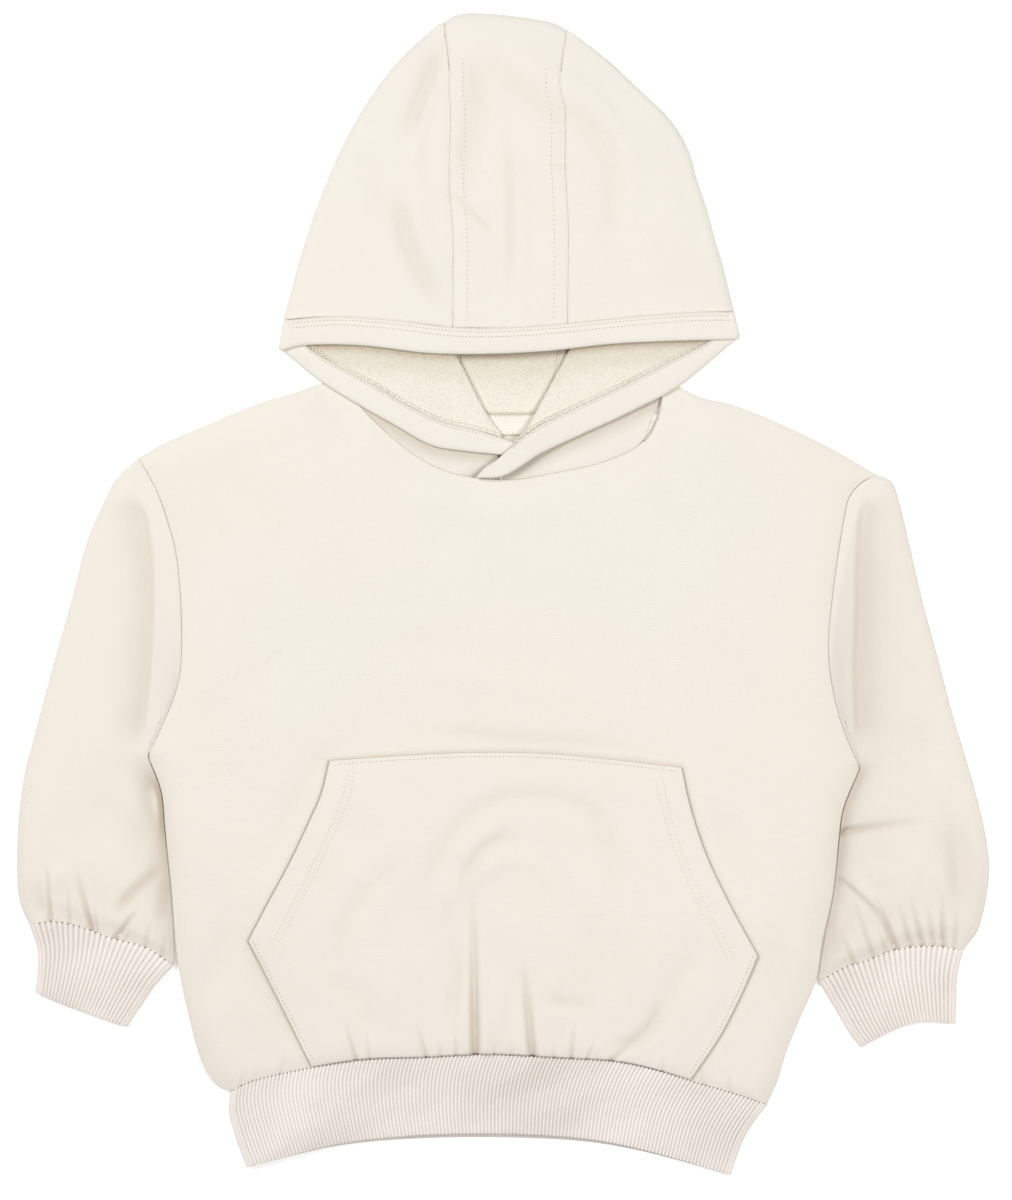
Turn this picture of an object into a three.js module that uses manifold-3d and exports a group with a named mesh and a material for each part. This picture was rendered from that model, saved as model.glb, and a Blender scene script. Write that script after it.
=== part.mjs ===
// Toddler hoodie in French terry, laid flat on its back with the hood spread out.
// Millimetres. +X is the garment's right as seen from above, +Y points to the hood, +Z up.
// The origin is on the table, under the middle of the garment.
import * as THREE from 'three';
import { mergeVertices } from 'three/addons/utils/BufferGeometryUtils.js';
import Module from 'manifold-3d';

const wasm = await Module();
wasm.setup();

// Cloth and layer heights
const CLOTH = 1.3;              // one layer of French terry
const SEAM_GAP = 0.3;           // air between two pieces at a seam
const LAY_GAP = 0.45;           // air between the pocket and the front under it
const RIB_WALL = 1.8;           // rib knit, folded double
const EXTRA_WALL = 1.2;         // bulk added to a wall where it swells off the table
const EDGE_TOP = CLOTH + SEAM_GAP + CLOTH;  // front's height where it meets the back's edge
const FRONT_TOP = 6.6;          // front in the open
const SEAM_ROLL = 2.1;          // radius of a sleeve's folded edge
const SLEEVE_TOP = 6.4;         // sleeve in the open
const SLEEVE_PUFF = 7.6;        // sleeve above its gathers
const RIB_ROLL = 2.5;           // radius of a rib tube's folded edge
const RIB_TOP = 5.5;            // rib tube in the open
const RIB_RELIEF = 0.3;         // a rib stands this far out of, and its groove in from, the face
const HEM_RIB_PITCH = 2.05;
const CUFF_RIB_PITCH = 2.5;
const UNDER_LAYER_TOP = 3.7;    // hood next to the front neck seam, outside up
const LAPEL_TOP = 5.4;          // turned-out hood, inside up
const CROWN_TOP = 7.9;          // hood's upper layer
const CROWN_UNDER = 5.2;        // its underside
const HOOD_ROLL = 2.8;          // radius of the hood's folded outline
const HOOD_ROLL_OUT = 3;        // how far that fold reaches in from the outline
const BAND_HALF = 1.2;          // half the thickness of the hood's folded band
const LID_MIDDLE = 5.3;         // band's mid height on the turned-out edges
const BROW_MIDDLE = 7.2;        // band's mid height at the middle of the brow
const BAND_ROLL = 1.35;         // radius of the band's turn at the hood's corners
const TURN_SIDE = 1;            // side to which the band's left corner turns
const CENTRE_GAP = 0.35;        // half of the air beside the hood's centre panel
const LAP_LIFT = 2.7;           // rise of the right edge where it crosses the left
const TAPE = { bottom: 1.6, top: 2.1, half: 5.6 };

// Rows of an outline or a list of folds, with named columns
function table(columns, rows) {
  return rows.map((row) => Object.fromEntries(columns.map((name, i) => [name, row[i]])));
}
const outline = (...rows) => table(['x', 'y'], rows);

// Outlines of the body, from the neck outwards or from the top down
const SHOULDER_LEFT = outline([-83.7, 116.1], [-107.6, 107.6], [-131.4, 100.2], [-157.9, 89],
  [-179.1, 80], [-192.9, 72.1]);
const SHOULDER_RIGHT = outline([85.3, 114.5], [104.4, 104.4], [120.3, 100.7], [142.6, 92.2],
  [175.4, 76.3], [198.2, 63.1]);
const FRONT_NECK_LEFT = outline([-83.7, 116.1], [-81.1, 108.1], [-75.8, 99.6], [-61.5, 85.3],
  [-47.7, 74.2], [-32.3, 65.7], [-15.4, 61.5], [-4, 60.6]);
const FRONT_NECK_RIGHT = outline([-4, 60.6], [6.4, 60.4], [24.9, 63.6], [53.5, 70], [71.5, 78.5],
  [79.5, 88], [83.5, 101], [85.3, 114.5]);
const BACK_NECK = outline([-83.7, 116.1], [-70, 103], [-45, 94], [-15, 90], [4, 89.5], [25, 90.5],
  [50, 95], [72, 104], [85.3, 114.5]);
const ARMHOLE_LEFT = outline([-192.9, 72.1], [-182.9, 53.5], [-177, 36.6], [-172.8, 19.6],
  [-170.1, -19.1], [-171.7, -46.1], [-181.3, -71.6], [-188.2, -85.9]);
const ARMHOLE_RIGHT = outline([198.2, 63.1], [190, 59], [183.4, 51.5], [181, 41.9], [176, 11.1],
  [172.3, -30.7], [176, -57.2], [182.3, -76.9], [189.2, -92.2]);
const SIDE_LEFT = outline([-188.2, -85.9], [-181.3, -103.9], [-179.1, -125.1], [-176, -152.6],
  [-172.8, -191.3], [-169.6, -209.9], [-165.9, -225.8], [-161.7, -241.7], [-156, -255],
  [-150.4, -261], [-144.2, -263.4]);
const SIDE_RIGHT = outline([189.2, -92.2], [180.2, -114.5], [178.1, -129.9], [174.4, -160.6],
  [169.1, -184.4], [165.9, -204.6], [156.9, -225.8], [150.5, -241.7], [145.6, -257.6],
  [139.9, -270.3]);
const HEM_SEAM = outline([-144.2, -263.4], [-133.6, -258.1], [-101.2, -250.7], [-74.2, -246.5],
  [-40.8, -245.4], [-9, -243.8], [33.9, -245.9], [59.9, -247.5], [82.2, -252.3], [99.1, -257.6],
  [123, -264.5], [139.9, -270.3]);
const HEM_END = outline([-135.7, -303.5], [-116.6, -298.9], [-89, -292.6], [-61, -289.4],
  [-14.8, -287.8], [41.3, -289.9], [68.9, -294.2], [94.9, -300.5], [120.8, -307.4]);
const HEM_LEFT = outline([-144.2, -263.4], [-145.2, -273.5], [-141, -289.4], [-135.7, -303.5]);
const HEM_RIGHT = outline([139.9, -270.3], [132.5, -280.4], [127.2, -289.4], [120.8, -307.4]);

// Outlines of the sleeves and cuffs
const SLEEVE_OUTER_LEFT = outline([-192.9, 72.1], [-205.1, 60.4], [-213.1, 44.5], [-219.9, 28.6],
  [-228.4, -3.2], [-237.4, -35], [-245.9, -66.8], [-253.9, -98.6], [-257.1, -130.4],
  [-256, -162.2], [-250.7, -174.9]);
const SLEEVE_INNER_LEFT = outline([-188.6, -86.4], [-182.2, -104], [-179.9, -125], [-176.9, -152.6],
  [-175.2, -175], [-174.4, -196.8]);
const SLEEVE_INNER_RIGHT = outline([189.6, -92.4], [181, -114.6], [178.9, -130], [175.2, -160.6],
  [170.4, -184.6], [167.2, -205.2]);
const SLEEVE_OUTER_RIGHT = outline([198.2, 63.1], [205.6, 59.6], [210.9, 44.5], [214.7, 28.6],
  [222.1, -3.2], [230.6, -35], [239, -66.8], [248.6, -98.6], [255.6, -128], [257.45, -146.3],
  [255.2, -165], [251.4, -178.1], [243.8, -188.7]);
const CUFF_SEAM_LEFT = outline([-250.7, -174.9], [-238, -173.3], [-222.1, -176.5],
  [-209.4, -181.3], [-187.6, -187.6], [-174.4, -196.8]);
const CUFF_END_LEFT = outline([-247.5, -210.9], [-235.9, -215.7], [-224.2, -220],
  [-211.5, -224.7], [-198.8, -229]);
const CUFF_OUTER_LEFT = outline([-250.7, -174.9], [-246.4, -188.7], [-246.4, -200], [-247.5, -210.9]);
const CUFF_INNER_LEFT = outline([-174.4, -196.8], [-184.4, -207.8], [-191.9, -218.9], [-198.8, -229]);
const CUFF_SEAM_RIGHT = outline([167.2, -205.2], [180.2, -197.7], [193.5, -193.5], [204, -189.2],
  [217.3, -186.6], [232, -186.6], [243.8, -188.7]);
const CUFF_END_RIGHT = outline([189.2, -240.1], [201.9, -233.2], [213.1, -228.4], [224.2, -226.3],
  [239.6, -227.4]);
const CUFF_INNER_RIGHT = outline([167.2, -205.2], [176, -220], [183.4, -232.5], [189.2, -240.1]);
const CUFF_OUTER_RIGHT = outline([243.8, -188.7], [240.6, -202.5], [240.1, -215], [239.6, -227.4]);

// Outlines of the pocket
const POCKET_TOP = outline([-91.7, -88], [-51.9, -85.3], [-14.8, -83.7], [22.8, -84.3],
  [57.8, -87.5], [94.3, -91.7]);
const POCKET_MOUTH_LEFT = outline([-134.6, -183.4], [-124, -163.2], [-112.9, -142.6],
  [-102.8, -121.4], [-95.9, -105.5], [-91.7, -88]);
const POCKET_MOUTH_RIGHT = outline([134.6, -191.3], [119.3, -163.2], [107.1, -137.3],
  [98.6, -111.3], [94.3, -91.7]);
const POCKET_LOW_LEFT = outline([-101.2, -249.9], [-116.6, -218.9], [-126.1, -200.3], [-134.6, -183.4]);
const POCKET_LOW_RIGHT = outline([99.1, -256.8], [115.5, -232.1], [126.7, -209.9], [134.6, -191.3]);
const POCKET_HEM = outline([-101.2, -249.9], [-74.2, -245.7], [-40.8, -244.6], [-9, -243],
  [33.9, -245.1], [59.9, -246.7], [82.2, -251.5], [99.1, -256.8]);

// Outlines of the hood
const CENTRE_SEAM_LEFT = outline([-26.5, 140.8], [-26.5, 192.9], [-28.1, 213.6], [-27.6, 255],
  [-28.6, 268.2], [-28.1, 276], [-31.4, 302.5]);
const CENTRE_SEAM_RIGHT = outline([34.2, 142.9], [34.5, 196.6], [33.1, 225.3], [32.9, 255],
  [30.2, 267.7], [30.4, 276], [33.9, 298.4]);
const CROWN_LINE = outline([-31.4, 302.5], [-24, 306.6], [-10, 307.4], [3.2, 306.2], [18, 304.2],
  [26.5, 302.4], [33.9, 298.4]);
const NAPE_SEAM_LEFT = outline([-14, 90.3], [-22, 120], [-26, 180], [-28, 250], [-31.4, 302.5]);
const NAPE_SEAM_RIGHT = outline([20, 90.7], [28, 120], [32, 180], [33, 250], [33.9, 298.4]);
const BROW_CENTRE = outline([-26.5, 140.8], [3.7, 140.7], [34.2, 142.9]);
const NAPE = outline([-14, 90.3], [4, 89.8], [20, 90.7]);
const HOOD_OUTER_LEFT = outline([-116.4, 145], [-113.4, 155.8], [-109.2, 171.7], [-104.4, 187.6],
  [-99.1, 203.5], [-92.8, 219.4], [-85.9, 235.3], [-77.4, 251.2], [-67.3, 267.1], [-54.6, 283],
  [-36.6, 299.6]);
const HOOD_OUTER_RIGHT = outline([122.6, 149.2], [120.8, 155.8], [117.1, 171.7], [112.4, 187.6],
  [108.1, 203.5], [102.8, 219.4], [98.1, 235.3], [88.5, 251.2], [72.1, 267.1], [55.1, 283],
  [39.2, 295.2]);
const BROW_SEAM_LEFT = outline([-26.8, 140.8], [-57.2, 144.5], [-88.5, 146.6], [-116.4, 145]);
const BROW_SEAM_RIGHT = outline([34.5, 142.9], [58, 145.4], [82.7, 147.6], [105, 148.9],
  [122.6, 149.2]);
const BACK_RIM_LEFT = outline([-116.4, 145], [-105, 129], [-92, 120.4], [-83.9, 116.6], [-70.2, 103.4],
  [-45.2, 94.4], [-14.3, 90.3]);
const BACK_RIM_RIGHT = outline([122.6, 149.2], [110, 132], [96, 120], [85.6, 115.1], [72.3, 104.5],
  [50.3, 95.4], [20.3, 90.8]);

// The turned-out front of the hood: seam against the band, roll line and neck seam
const LAPEL_SEAM_LEFT = outline([-1.4, 82.6], [-15.2, 86.8], [-31.6, 90.6], [-50.1, 99.6],
  [-69.1, 110.7], [-88.7, 121.3], [-104, 131.5], [-113.9, 145.6]);
const ROLL_LEFT = outline([-0.6, 84.6], [-8, 94.5], [-23.9, 125.1], [-33, 142], [-60, 152],
  [-90, 154], [-113.4, 152.5]);
const LAPEL_SEAM_RIGHT = outline([4.8, 77.9], [17, 87.5], [38, 98.1], [60.8, 108.7], [85.7, 121.4],
  [112.1, 136.4], [120.2, 149.8]);
const ROLL_RIGHT = outline([5.8, 79.6], [10.6, 85], [21.5, 104], [33.4, 126.1], [42, 142],
  [66, 154], [95, 157], [119, 156]);
const NECK_TURN_LEFT = outline([-83.4, 116.5], [-90, 124], [-97, 136]);
const NECK_TURN_RIGHT = outline([85, 114.9], [95, 124], [104, 138]);

// The hood's band: its seam and its folded free edge
const BROW_BAND_SEAM = outline([-113.6, 144.2], [-88.5, 146.2], [-57.2, 144.1], [-26.5, 140.4],
  [3.7, 140.3], [34.4, 142.5], [58, 145], [82.7, 147.2], [105, 148.5], [119.8, 148.4]);
const BROW_BAND_EDGE = outline([-116.4, 128.5], [-107.1, 131], [-77.9, 131.4], [-39.2, 127.2],
  [-10.6, 126.7], [23.3, 128.3], [57.2, 132], [90.6, 133.6], [123.2, 134.4]);
const LID_BAND_SEAM_LEFT = outline([3.4, 80.6], [-1.4, 82.2], [-15.2, 86.4], [-31.7, 90.2],
  [-50.3, 99.1], [-69.3, 110.3], [-88.9, 120.9], [-104.2, 131], [-113.6, 144.2]);
const LID_BAND_EDGE_LEFT = outline([2.4, 72.4], [0.5, 73.1], [-19.1, 75.3], [-37.6, 78.4],
  [-56.2, 88.5], [-75.8, 99.6], [-96.5, 112.4], [-116.4, 128.5]);
const LID_BAND_SEAM_RIGHT = outline([-9.5, 67], [-4.2, 70], [4.8, 77.5], [17.1, 87.1],
  [38.2, 97.7], [61, 108.3], [85.9, 121], [112.4, 136], [119.8, 148.4]);
const LID_BAND_EDGE_RIGHT = outline([-14.8, 61.2], [-0.5, 62], [20.1, 74.2], [40.3, 83.7],
  [65.7, 95.4], [92.8, 109.7], [123.2, 134.4]);

// Folds pressed into the front and the pocket: a soft line from one end to the other.
// A depth under zero is a trough, over zero a ridge.
const FRONT_FOLDS = table(['x0', 'y0', 'x1', 'y1', 'width', 'depth'], [
  [-16.4, -161, -14.6, -244, 8, -1.2],
  [9.5, -190.8, 15.6, -244.9, 8, -1.1],
  [-60, -118, 20, -104, 12, -0.5],
  [20, -104, 58, -150, 12, -0.4],
  [-72, -40, -8, -28, 13, -0.45],
  [-150, -112, -108, -104, 11, -0.6],
  [150, -120, 112, -96, 11, -0.55],
  [-168, -60, -118, -26, 12, -0.6],
  [166, -62, 124, -20, 12, -0.6],
  [-152, -232, -128, -170, 10, -0.6],
  [146, -236, 128, -176, 10, -0.6],
  [-60, 40, -20, 6, 14, -0.4],
  [62, 44, 26, 8, 14, -0.4],
]);

const POCKET_FOLDS = table(['x0', 'y0', 'x1', 'y1', 'width', 'depth'], [
  [-16.4, -161, -14.6, -244, 8, -1.2],
  [-6, -170, -5, -242, 7, 0.4],
  [9.5, -190.8, 15.6, -244.9, 8, -1.1],
  [24, -200, 24, -244, 7, 0.4],
  [-60, -118, 20, -104, 12, -0.5],
  [20, -104, 58, -150, 12, -0.4],
  [-84, -150, -70, -214, 12, -0.4],
  [84, -160, 70, -220, 12, -0.4],
]);

// Gathers of the front into the hem band: where along X, half width, depth and reach up
const HEM_GATHERS = table(['x', 'width', 'depth', 'reach'], [
  [-128, 6, -0.8, 16],
  [-110, 6, -0.7, 14],
  [-84, 5.5, -1.0, 18],
  [-73, 5.5, -0.7, 14],
  [-43, 5.5, -1.1, 20],
  [-27, 5.5, -0.9, 22],
  [36, 5.5, -1.0, 20],
  [57, 5.5, -0.8, 16],
  [76, 6, -0.7, 14],
  [108, 6, -0.8, 18],
  [125, 6, -0.8, 14],
]);

// Gathers of the sleeves into the cuffs: share of the way along the cuff seam,
// half width as such a share, depth and reach up the sleeve
const CUFF_GATHERS_LEFT = table(['along', 'width', 'depth', 'reach'], [
  [0.12, 0.035, -1.1, 24],
  [0.27, 0.035, -1.2, 30],
  [0.38, 0.03, -0.9, 20],
  [0.47, 0.035, -1.2, 34],
  [0.6, 0.035, -1.1, 26],
  [0.72, 0.035, -1.0, 30],
  [0.86, 0.035, -0.8, 18],
]);
const CUFF_GATHERS_RIGHT = table(['along', 'width', 'depth', 'reach'], [
  [0.13, 0.035, -0.8, 20],
  [0.27, 0.035, -1.0, 34],
  [0.38, 0.03, -1.1, 26],
  [0.47, 0.03, -1.1, 30],
  [0.57, 0.03, -1.2, 34],
  [0.67, 0.03, -1.2, 28],
  [0.78, 0.03, -1.1, 30],
  [0.9, 0.035, -0.9, 20],
]);

// Broad creases across the sleeves
const SLEEVE_FOLDS_LEFT = table(['x0', 'y0', 'x1', 'y1', 'width', 'depth'], [
  [-188, 52, -184, -70, 9, -0.7],
  [-226, -40, -205, -88, 12, -0.5],
  [-246, -120, -214, -130, 11, -0.5],
]);
const SLEEVE_FOLDS_RIGHT = table(['x0', 'y0', 'x1', 'y1', 'width', 'depth'], [
  [187, 46, 186, -62, 9, -0.7],
  [182, -124, 217, -122, 8, -0.9],
  [177, -150, 202, -182, 8, -0.8],
  [236, -60, 214, -100, 12, -0.5],
]);

// Soft creases of the hood's upper layer
const HOOD_FOLDS = table(['x0', 'y0', 'x1', 'y1', 'width', 'depth'], [
  [-40, 268, -70, 190, 12, -0.6],
  [-58, 176, -40, 152, 10, -0.6],
  [62, 262, 84, 196, 12, -0.6],
  [96, 196, 108, 160, 10, -0.5],
  [-16, 262, 10, 254, 10, -0.5],
  [2, 232, 8, 160, 12, -0.45],
]);

const COLOURS = {
  face: { color: 0xf1ebe1, roughness: 0.92 },
  rib: { color: 0xeae0d6, roughness: 0.95 },
  tape: { color: 0xf3f1e6, roughness: 0.85 },
};

// Lines

// A smooth line through an outline's rows, cut into equal spans
function smoothLine(rows, spans) {
  const corners = rows.map((row) => new THREE.Vector3(row.x, row.y, 0));
  return new THREE.CatmullRomCurve3(corners, false, 'centripetal').getSpacedPoints(spans);
}

// Lines that follow each other, each starting where the last one ends
function joined(...lines) {
  return lines.reduce((all, line) => all.concat(line.slice(1)));
}

const reversed = (line) => [...line].reverse();

// A line moved sideways, to the left of its own direction for a distance over zero
function moved(line, distance) {
  return line.map((point, i) => {
    const before = line[Math.max(i - 1, 0)];
    const after = line[Math.min(i + 1, line.length - 1)];
    const way = after.clone().sub(before).normalize();
    return new THREE.Vector3(point.x - way.y * distance, point.y + way.x * distance, 0);
  });
}

// A point at a share of the way along an evenly cut line
function pointAt(line, share) {
  const place = THREE.MathUtils.clamp(share, 0, 1) * (line.length - 1);
  const first = Math.min(Math.floor(place), line.length - 2);
  return line[first].clone().lerp(line[first + 1], place - first);
}

// Distance from a point to a segment, and the share of the way along it
function toSegment(x, y, x0, y0, x1, y1) {
  const dx = x1 - x0;
  const dy = y1 - y0;
  const share = THREE.MathUtils.clamp(((x - x0) * dx + (y - y0) * dy) / (dx * dx + dy * dy), 0, 1);
  return { share, distance: Math.hypot(x - x0 - share * dx, y - y0 - share * dy) };
}

function toLine(x, y, line) {
  let nearest = Infinity;
  for (let i = 1; i < line.length; i += 1) {
    const a = line[i - 1];
    const b = line[i];
    nearest = Math.min(nearest, toSegment(x, y, a.x, a.y, b.x, b.y).distance);
  }
  return nearest;
}

// Heights

const smooth = (value, low, high) => THREE.MathUtils.smoothstep(value, low, high);
const mix = THREE.MathUtils.lerp;

// Sum of the folds of a table at a place, each dying out towards its ends
function foldHeight(folds, x, y) {
  let height = 0;
  for (const fold of folds) {
    const near = toSegment(x, y, fold.x0, fold.y0, fold.x1, fold.y1);
    height += fold.depth * Math.exp(-((near.distance / fold.width) ** 2));
  }
  return height;
}

// Patches: a grid of points between four lines that meet at their ends

function patch(bottom, top, left, right) {
  const across = bottom.length - 1;
  const along = left.length - 1;
  const rows = [];
  for (let j = 0; j <= along; j += 1) {
    const v = j / along;
    const row = [];
    for (let i = 0; i <= across; i += 1) {
      const u = i / across;
      const point = new THREE.Vector3();
      point.addScaledVector(bottom[i], 1 - v).addScaledVector(top[i], v);
      point.addScaledVector(left[j], 1 - u).addScaledVector(right[j], u);
      point.addScaledVector(bottom[0], -(1 - u) * (1 - v)).addScaledVector(bottom[across], -u * (1 - v));
      point.addScaledVector(top[0], -(1 - u) * v).addScaledVector(top[across], -u * v);
      row.push(point);
    }
    rows.push(row);
  }
  return rows;
}

// Moves each inner point of a grid to the middle of its neighbours, a number of times
function relaxed(grid, times) {
  for (let pass = 0; pass < times; pass += 1) {
    for (let j = 1; j < grid.length - 1; j += 1) {
      for (let i = 1; i < grid[j].length - 1; i += 1) {
        grid[j][i].copy(grid[j][i - 1]).add(grid[j][i + 1]).add(grid[j - 1][i]).add(grid[j + 1][i]);
        grid[j][i].multiplyScalar(1 / 4);
      }
    }
  }
  return grid;
}

const raised = (grid, height) => grid.map((row) => row.map(
  (p) => new THREE.Vector3(p.x, p.y, height(p.x, p.y)),
));

// Closed walls

// Collects the triangles of one closed wall
class Wall {
  constructor() {
    this.corners = [];
  }

  triangle(a, b, c) {
    for (const point of [a, b, c]) {
      this.corners.push(point.x, point.y, point.z);
    }
  }

  // Faces of a grid, each cell cut along its shorter diagonal; flip turns them round
  face(grid, flip, closed) {
    const across = grid[0].length;
    for (let j = 1; j < grid.length; j += 1) {
      for (let i = closed ? 0 : 1; i < across; i += 1) {
        const h = (i + across - 1) % across;
        const [a, b, c, d] = [grid[j - 1][h], grid[j - 1][i], grid[j][i], grid[j][h]];
        const straight = a.distanceTo(c) <= b.distanceTo(d);
        const halves = straight ? [[a, b, c], [a, c, d]] : [[a, b, d], [b, c, d]];
        halves.forEach(([p, q, r]) => this.triangle(p, flip ? r : q, flip ? q : r));
      }
    }
  }

  // Cut edge between a line of the outer face and the matching line of the inner one.
  // Marks name the places in both lines that lie opposite each other.
  rim(outer, inner, outerMarks = [0, outer.length - 1], innerMarks = [0, inner.length - 1]) {
    for (let k = 1; k < outerMarks.length; k += 1) {
      this.rimStretch(
        outer.slice(outerMarks[k - 1], outerMarks[k] + 1),
        inner.slice(innerMarks[k - 1], innerMarks[k] + 1),
      );
    }
  }

  rimStretch(outer, inner) {
    let a = 0;
    let b = 0;
    while (a < outer.length - 1 || b < inner.length - 1) {
      const outerNext = (a + 1) / (outer.length - 1);
      const innerNext = (b + 1) / (inner.length - 1);
      if (outerNext <= innerNext) {
        this.triangle(outer[a], inner[b], outer[a + 1]);
        a += 1;
      } else {
        this.triangle(outer[a], inner[b], inner[b + 1]);
        b += 1;
      }
    }
  }

  geometry() {
    const raw = new THREE.BufferGeometry();
    raw.setAttribute('position', new THREE.Float32BufferAttribute(this.corners, 3));
    return facedOut(mergeVertices(raw, 1e-4));
  }
}

// Turns a closed mesh's faces outwards where its volume comes out under zero
function facedOut(geometry) {
  const place = geometry.getAttribute('position');
  const index = geometry.getIndex().array;
  const [a, b, c] = [new THREE.Vector3(), new THREE.Vector3(), new THREE.Vector3()];
  let volume = 0;
  for (let i = 0; i < index.length; i += 3) {
    a.fromBufferAttribute(place, index[i]);
    b.fromBufferAttribute(place, index[i + 1]);
    c.fromBufferAttribute(place, index[i + 2]);
    volume += a.dot(b.cross(c));
  }
  if (volume < 0) {
    for (let i = 0; i < index.length; i += 3) {
      [index[i], index[i + 1]] = [index[i + 1], index[i]];
    }
  }
  return geometry;
}

const column = (grid, i) => grid.map((row) => row[i]);
const last = (list) => list[list.length - 1];

// A sheet with an outer and an inner face, cut on all four sides. Marks name the places in
// the two last rows that lie opposite each other.
function sheetWall(outer, inner, outerMarks, innerMarks) {
  const wall = new Wall();
  wall.face(outer, false, false);
  wall.face(inner, true, false);
  wall.rim(outer[0], inner[0]);
  wall.rim(column(outer, outer[0].length - 1), column(inner, inner[0].length - 1));
  wall.rim(reversed(last(outer)), reversed(last(inner)), outerMarks, innerMarks);
  wall.rim(reversed(column(outer, 0)), reversed(column(inner, 0)));
  return wall.geometry();
}

// A tube with an outer and an inner face, open at both ends
function tubeWall(outer, inner) {
  const wall = new Wall();
  wall.face(outer.rings, false, true);
  wall.face(inner.rings, true, true);
  const loop = (ring) => [...ring, ring[0]];
  const back = (tube) => reversed(tube.marks.map((mark) => last(tube.marks) - mark));
  wall.rim(loop(outer.rings[0]), loop(inner.rings[0]), outer.marks, inner.marks);
  wall.rim(
    reversed(loop(last(outer.rings))),
    reversed(loop(last(inner.rings))),
    back(outer),
    back(inner),
  );
  return wall.geometry();
}

// Ring sections of a tube that is pressed flat on the table: its underside, one folded edge,
// its upper side and the other folded edge. wall is zero for the outer face.
function flatTube({ plan, height, roll, wall, rows, across, below, turn }) {
  const rings = [];
  for (let j = 0; j <= rows; j += 1) {
    const v = j / rows;
    const width = plan(0, v).distanceTo(plan(1, v));
    const edge = roll / width;
    const turned = (roll - wall) / width;
    const spread = (share) => mix(edge, 1 - edge, share);
    const ring = [];
    const put = (u, z) => {
      const place = plan(u, v);
      ring.push(new THREE.Vector3(place.x, place.y, z));
    };
    for (let i = 0; i < below; i += 1) {
      put(spread(i / below), wall);
    }
    for (let i = 0; i <= turn; i += 1) {
      const angle = Math.PI * (i / turn - 0.5);
      put(1 - edge + turned * Math.cos(angle), roll + (roll - wall) * Math.sin(angle));
    }
    for (let i = 1; i < across; i += 1) {
      const u = spread(1 - i / across);
      put(u, height(u, v, i) - wall);
    }
    for (let i = 0; i < turn; i += 1) {
      const angle = Math.PI * (0.5 + i / turn);
      put(edge + turned * Math.cos(angle), roll + (roll - wall) * Math.sin(angle));
    }
    rings.push(ring);
  }
  const marks = [0, below, below + turn, below + turn + across, below + 2 * turn + across];
  return { rings, marks };
}

// A patch as a function of the shares across and along it
function planOf(grid) {
  const along = grid.length - 1;
  return (u, v) => {
    const place = THREE.MathUtils.clamp(v, 0, 1) * along;
    const first = Math.min(Math.floor(place), along - 1);
    return pointAt(grid[first], u).lerp(pointAt(grid[first + 1], u), place - first);
  };
}

// A patch whose side lines are drawn to the ends of its first and last lines
function metPatch(bottom, top, left, right) {
  left[0] = bottom[0];
  right[0] = last(bottom);
  left[left.length - 1] = top[0];
  right[right.length - 1] = last(top);
  return patch(bottom, top, left, right);
}

// Cuts and joins of closed meshes

function solidOf(geometry) {
  const mesh = new wasm.Mesh({
    numProp: 3,
    vertProperties: new Float32Array(geometry.getAttribute('position').array),
    triVerts: new Uint32Array(geometry.getIndex().array),
  });
  mesh.merge();
  return new wasm.Manifold(mesh);
}

function geometryOf(solid) {
  const mesh = solid.getMesh();
  const geometry = new THREE.BufferGeometry();
  geometry.setAttribute('position', new THREE.BufferAttribute(mesh.vertProperties, 3));
  geometry.setIndex(new THREE.BufferAttribute(mesh.triVerts, 1));
  return geometry;
}

const union = (first, second) => geometryOf(solidOf(first).add(solidOf(second)));

// What is left of a mesh outside some rooms, without the slivers that a cut leaves beside it
function cutAway(geometry, ...rooms) {
  const rest = rooms.reduce((solid, room) => solid.subtract(solidOf(room)), solidOf(geometry));
  const parts = rest.decompose().sort((a, b) => b.volume() - a.volume());
  return geometryOf(parts[0]);
}

// Body

const ACROSS_NECK = 16;
const ACROSS_SHOULDER = 14;
const ALONG_SIDE = 10;
const ALONG_ARMHOLE = 10;

// The body's four edge lines between its hem, sides, armholes and shoulders, with a given neckline
function bodyEdges(coarse, neckline) {
  const shoulder = ACROSS_SHOULDER / coarse;
  const edge = (side, armhole) => joined(
    reversed(smoothLine(side, ALONG_SIDE)),
    reversed(smoothLine(armhole, ALONG_ARMHOLE)),
  );
  return {
    hem: smoothLine(HEM_SEAM, ACROSS_NECK + 2 * shoulder),
    top: joined(
      reversed(smoothLine(SHOULDER_LEFT, shoulder)),
      neckline,
      smoothLine(SHOULDER_RIGHT, shoulder),
    ),
    left: edge(SIDE_LEFT, ARMHOLE_LEFT),
    right: edge(SIDE_RIGHT, ARMHOLE_RIGHT),
  };
}

function bodyGrid(coarse, neckline) {
  const { hem, top, left, right } = bodyEdges(coarse, neckline);
  return relaxed(patch(hem, top, left, right), 40);
}

// The body's outline as one loop, the way round that keeps the body on its left
function bodyLoop(neckline) {
  const { hem, top, left, right } = bodyEdges(1, neckline);
  return joined(hem, right, reversed(top), reversed(left)).slice(0, -1);
}

const frontNeckline = joined(
  smoothLine(FRONT_NECK_LEFT, ACROSS_NECK / 2),
  smoothLine(FRONT_NECK_RIGHT, ACROSS_NECK / 2),
);

// A flat plate with a given outline between two heights
function plate(loop, low, high) {
  const shape = new THREE.Shape(loop.map((point) => new THREE.Vector2(point.x, point.y)));
  const body = new THREE.ExtrudeGeometry(shape, { depth: high - low, bevelEnabled: false });
  body.deleteAttribute('normal');
  body.deleteAttribute('uv');
  body.translate(0, 0, low);
  return mergeVertices(body, 1e-4);
}

// The back lies flat on the table
function backPanel() {
  return plate(bodyLoop(smoothLine(BACK_NECK, ACROSS_NECK)), 0, CLOTH);
}

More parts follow.
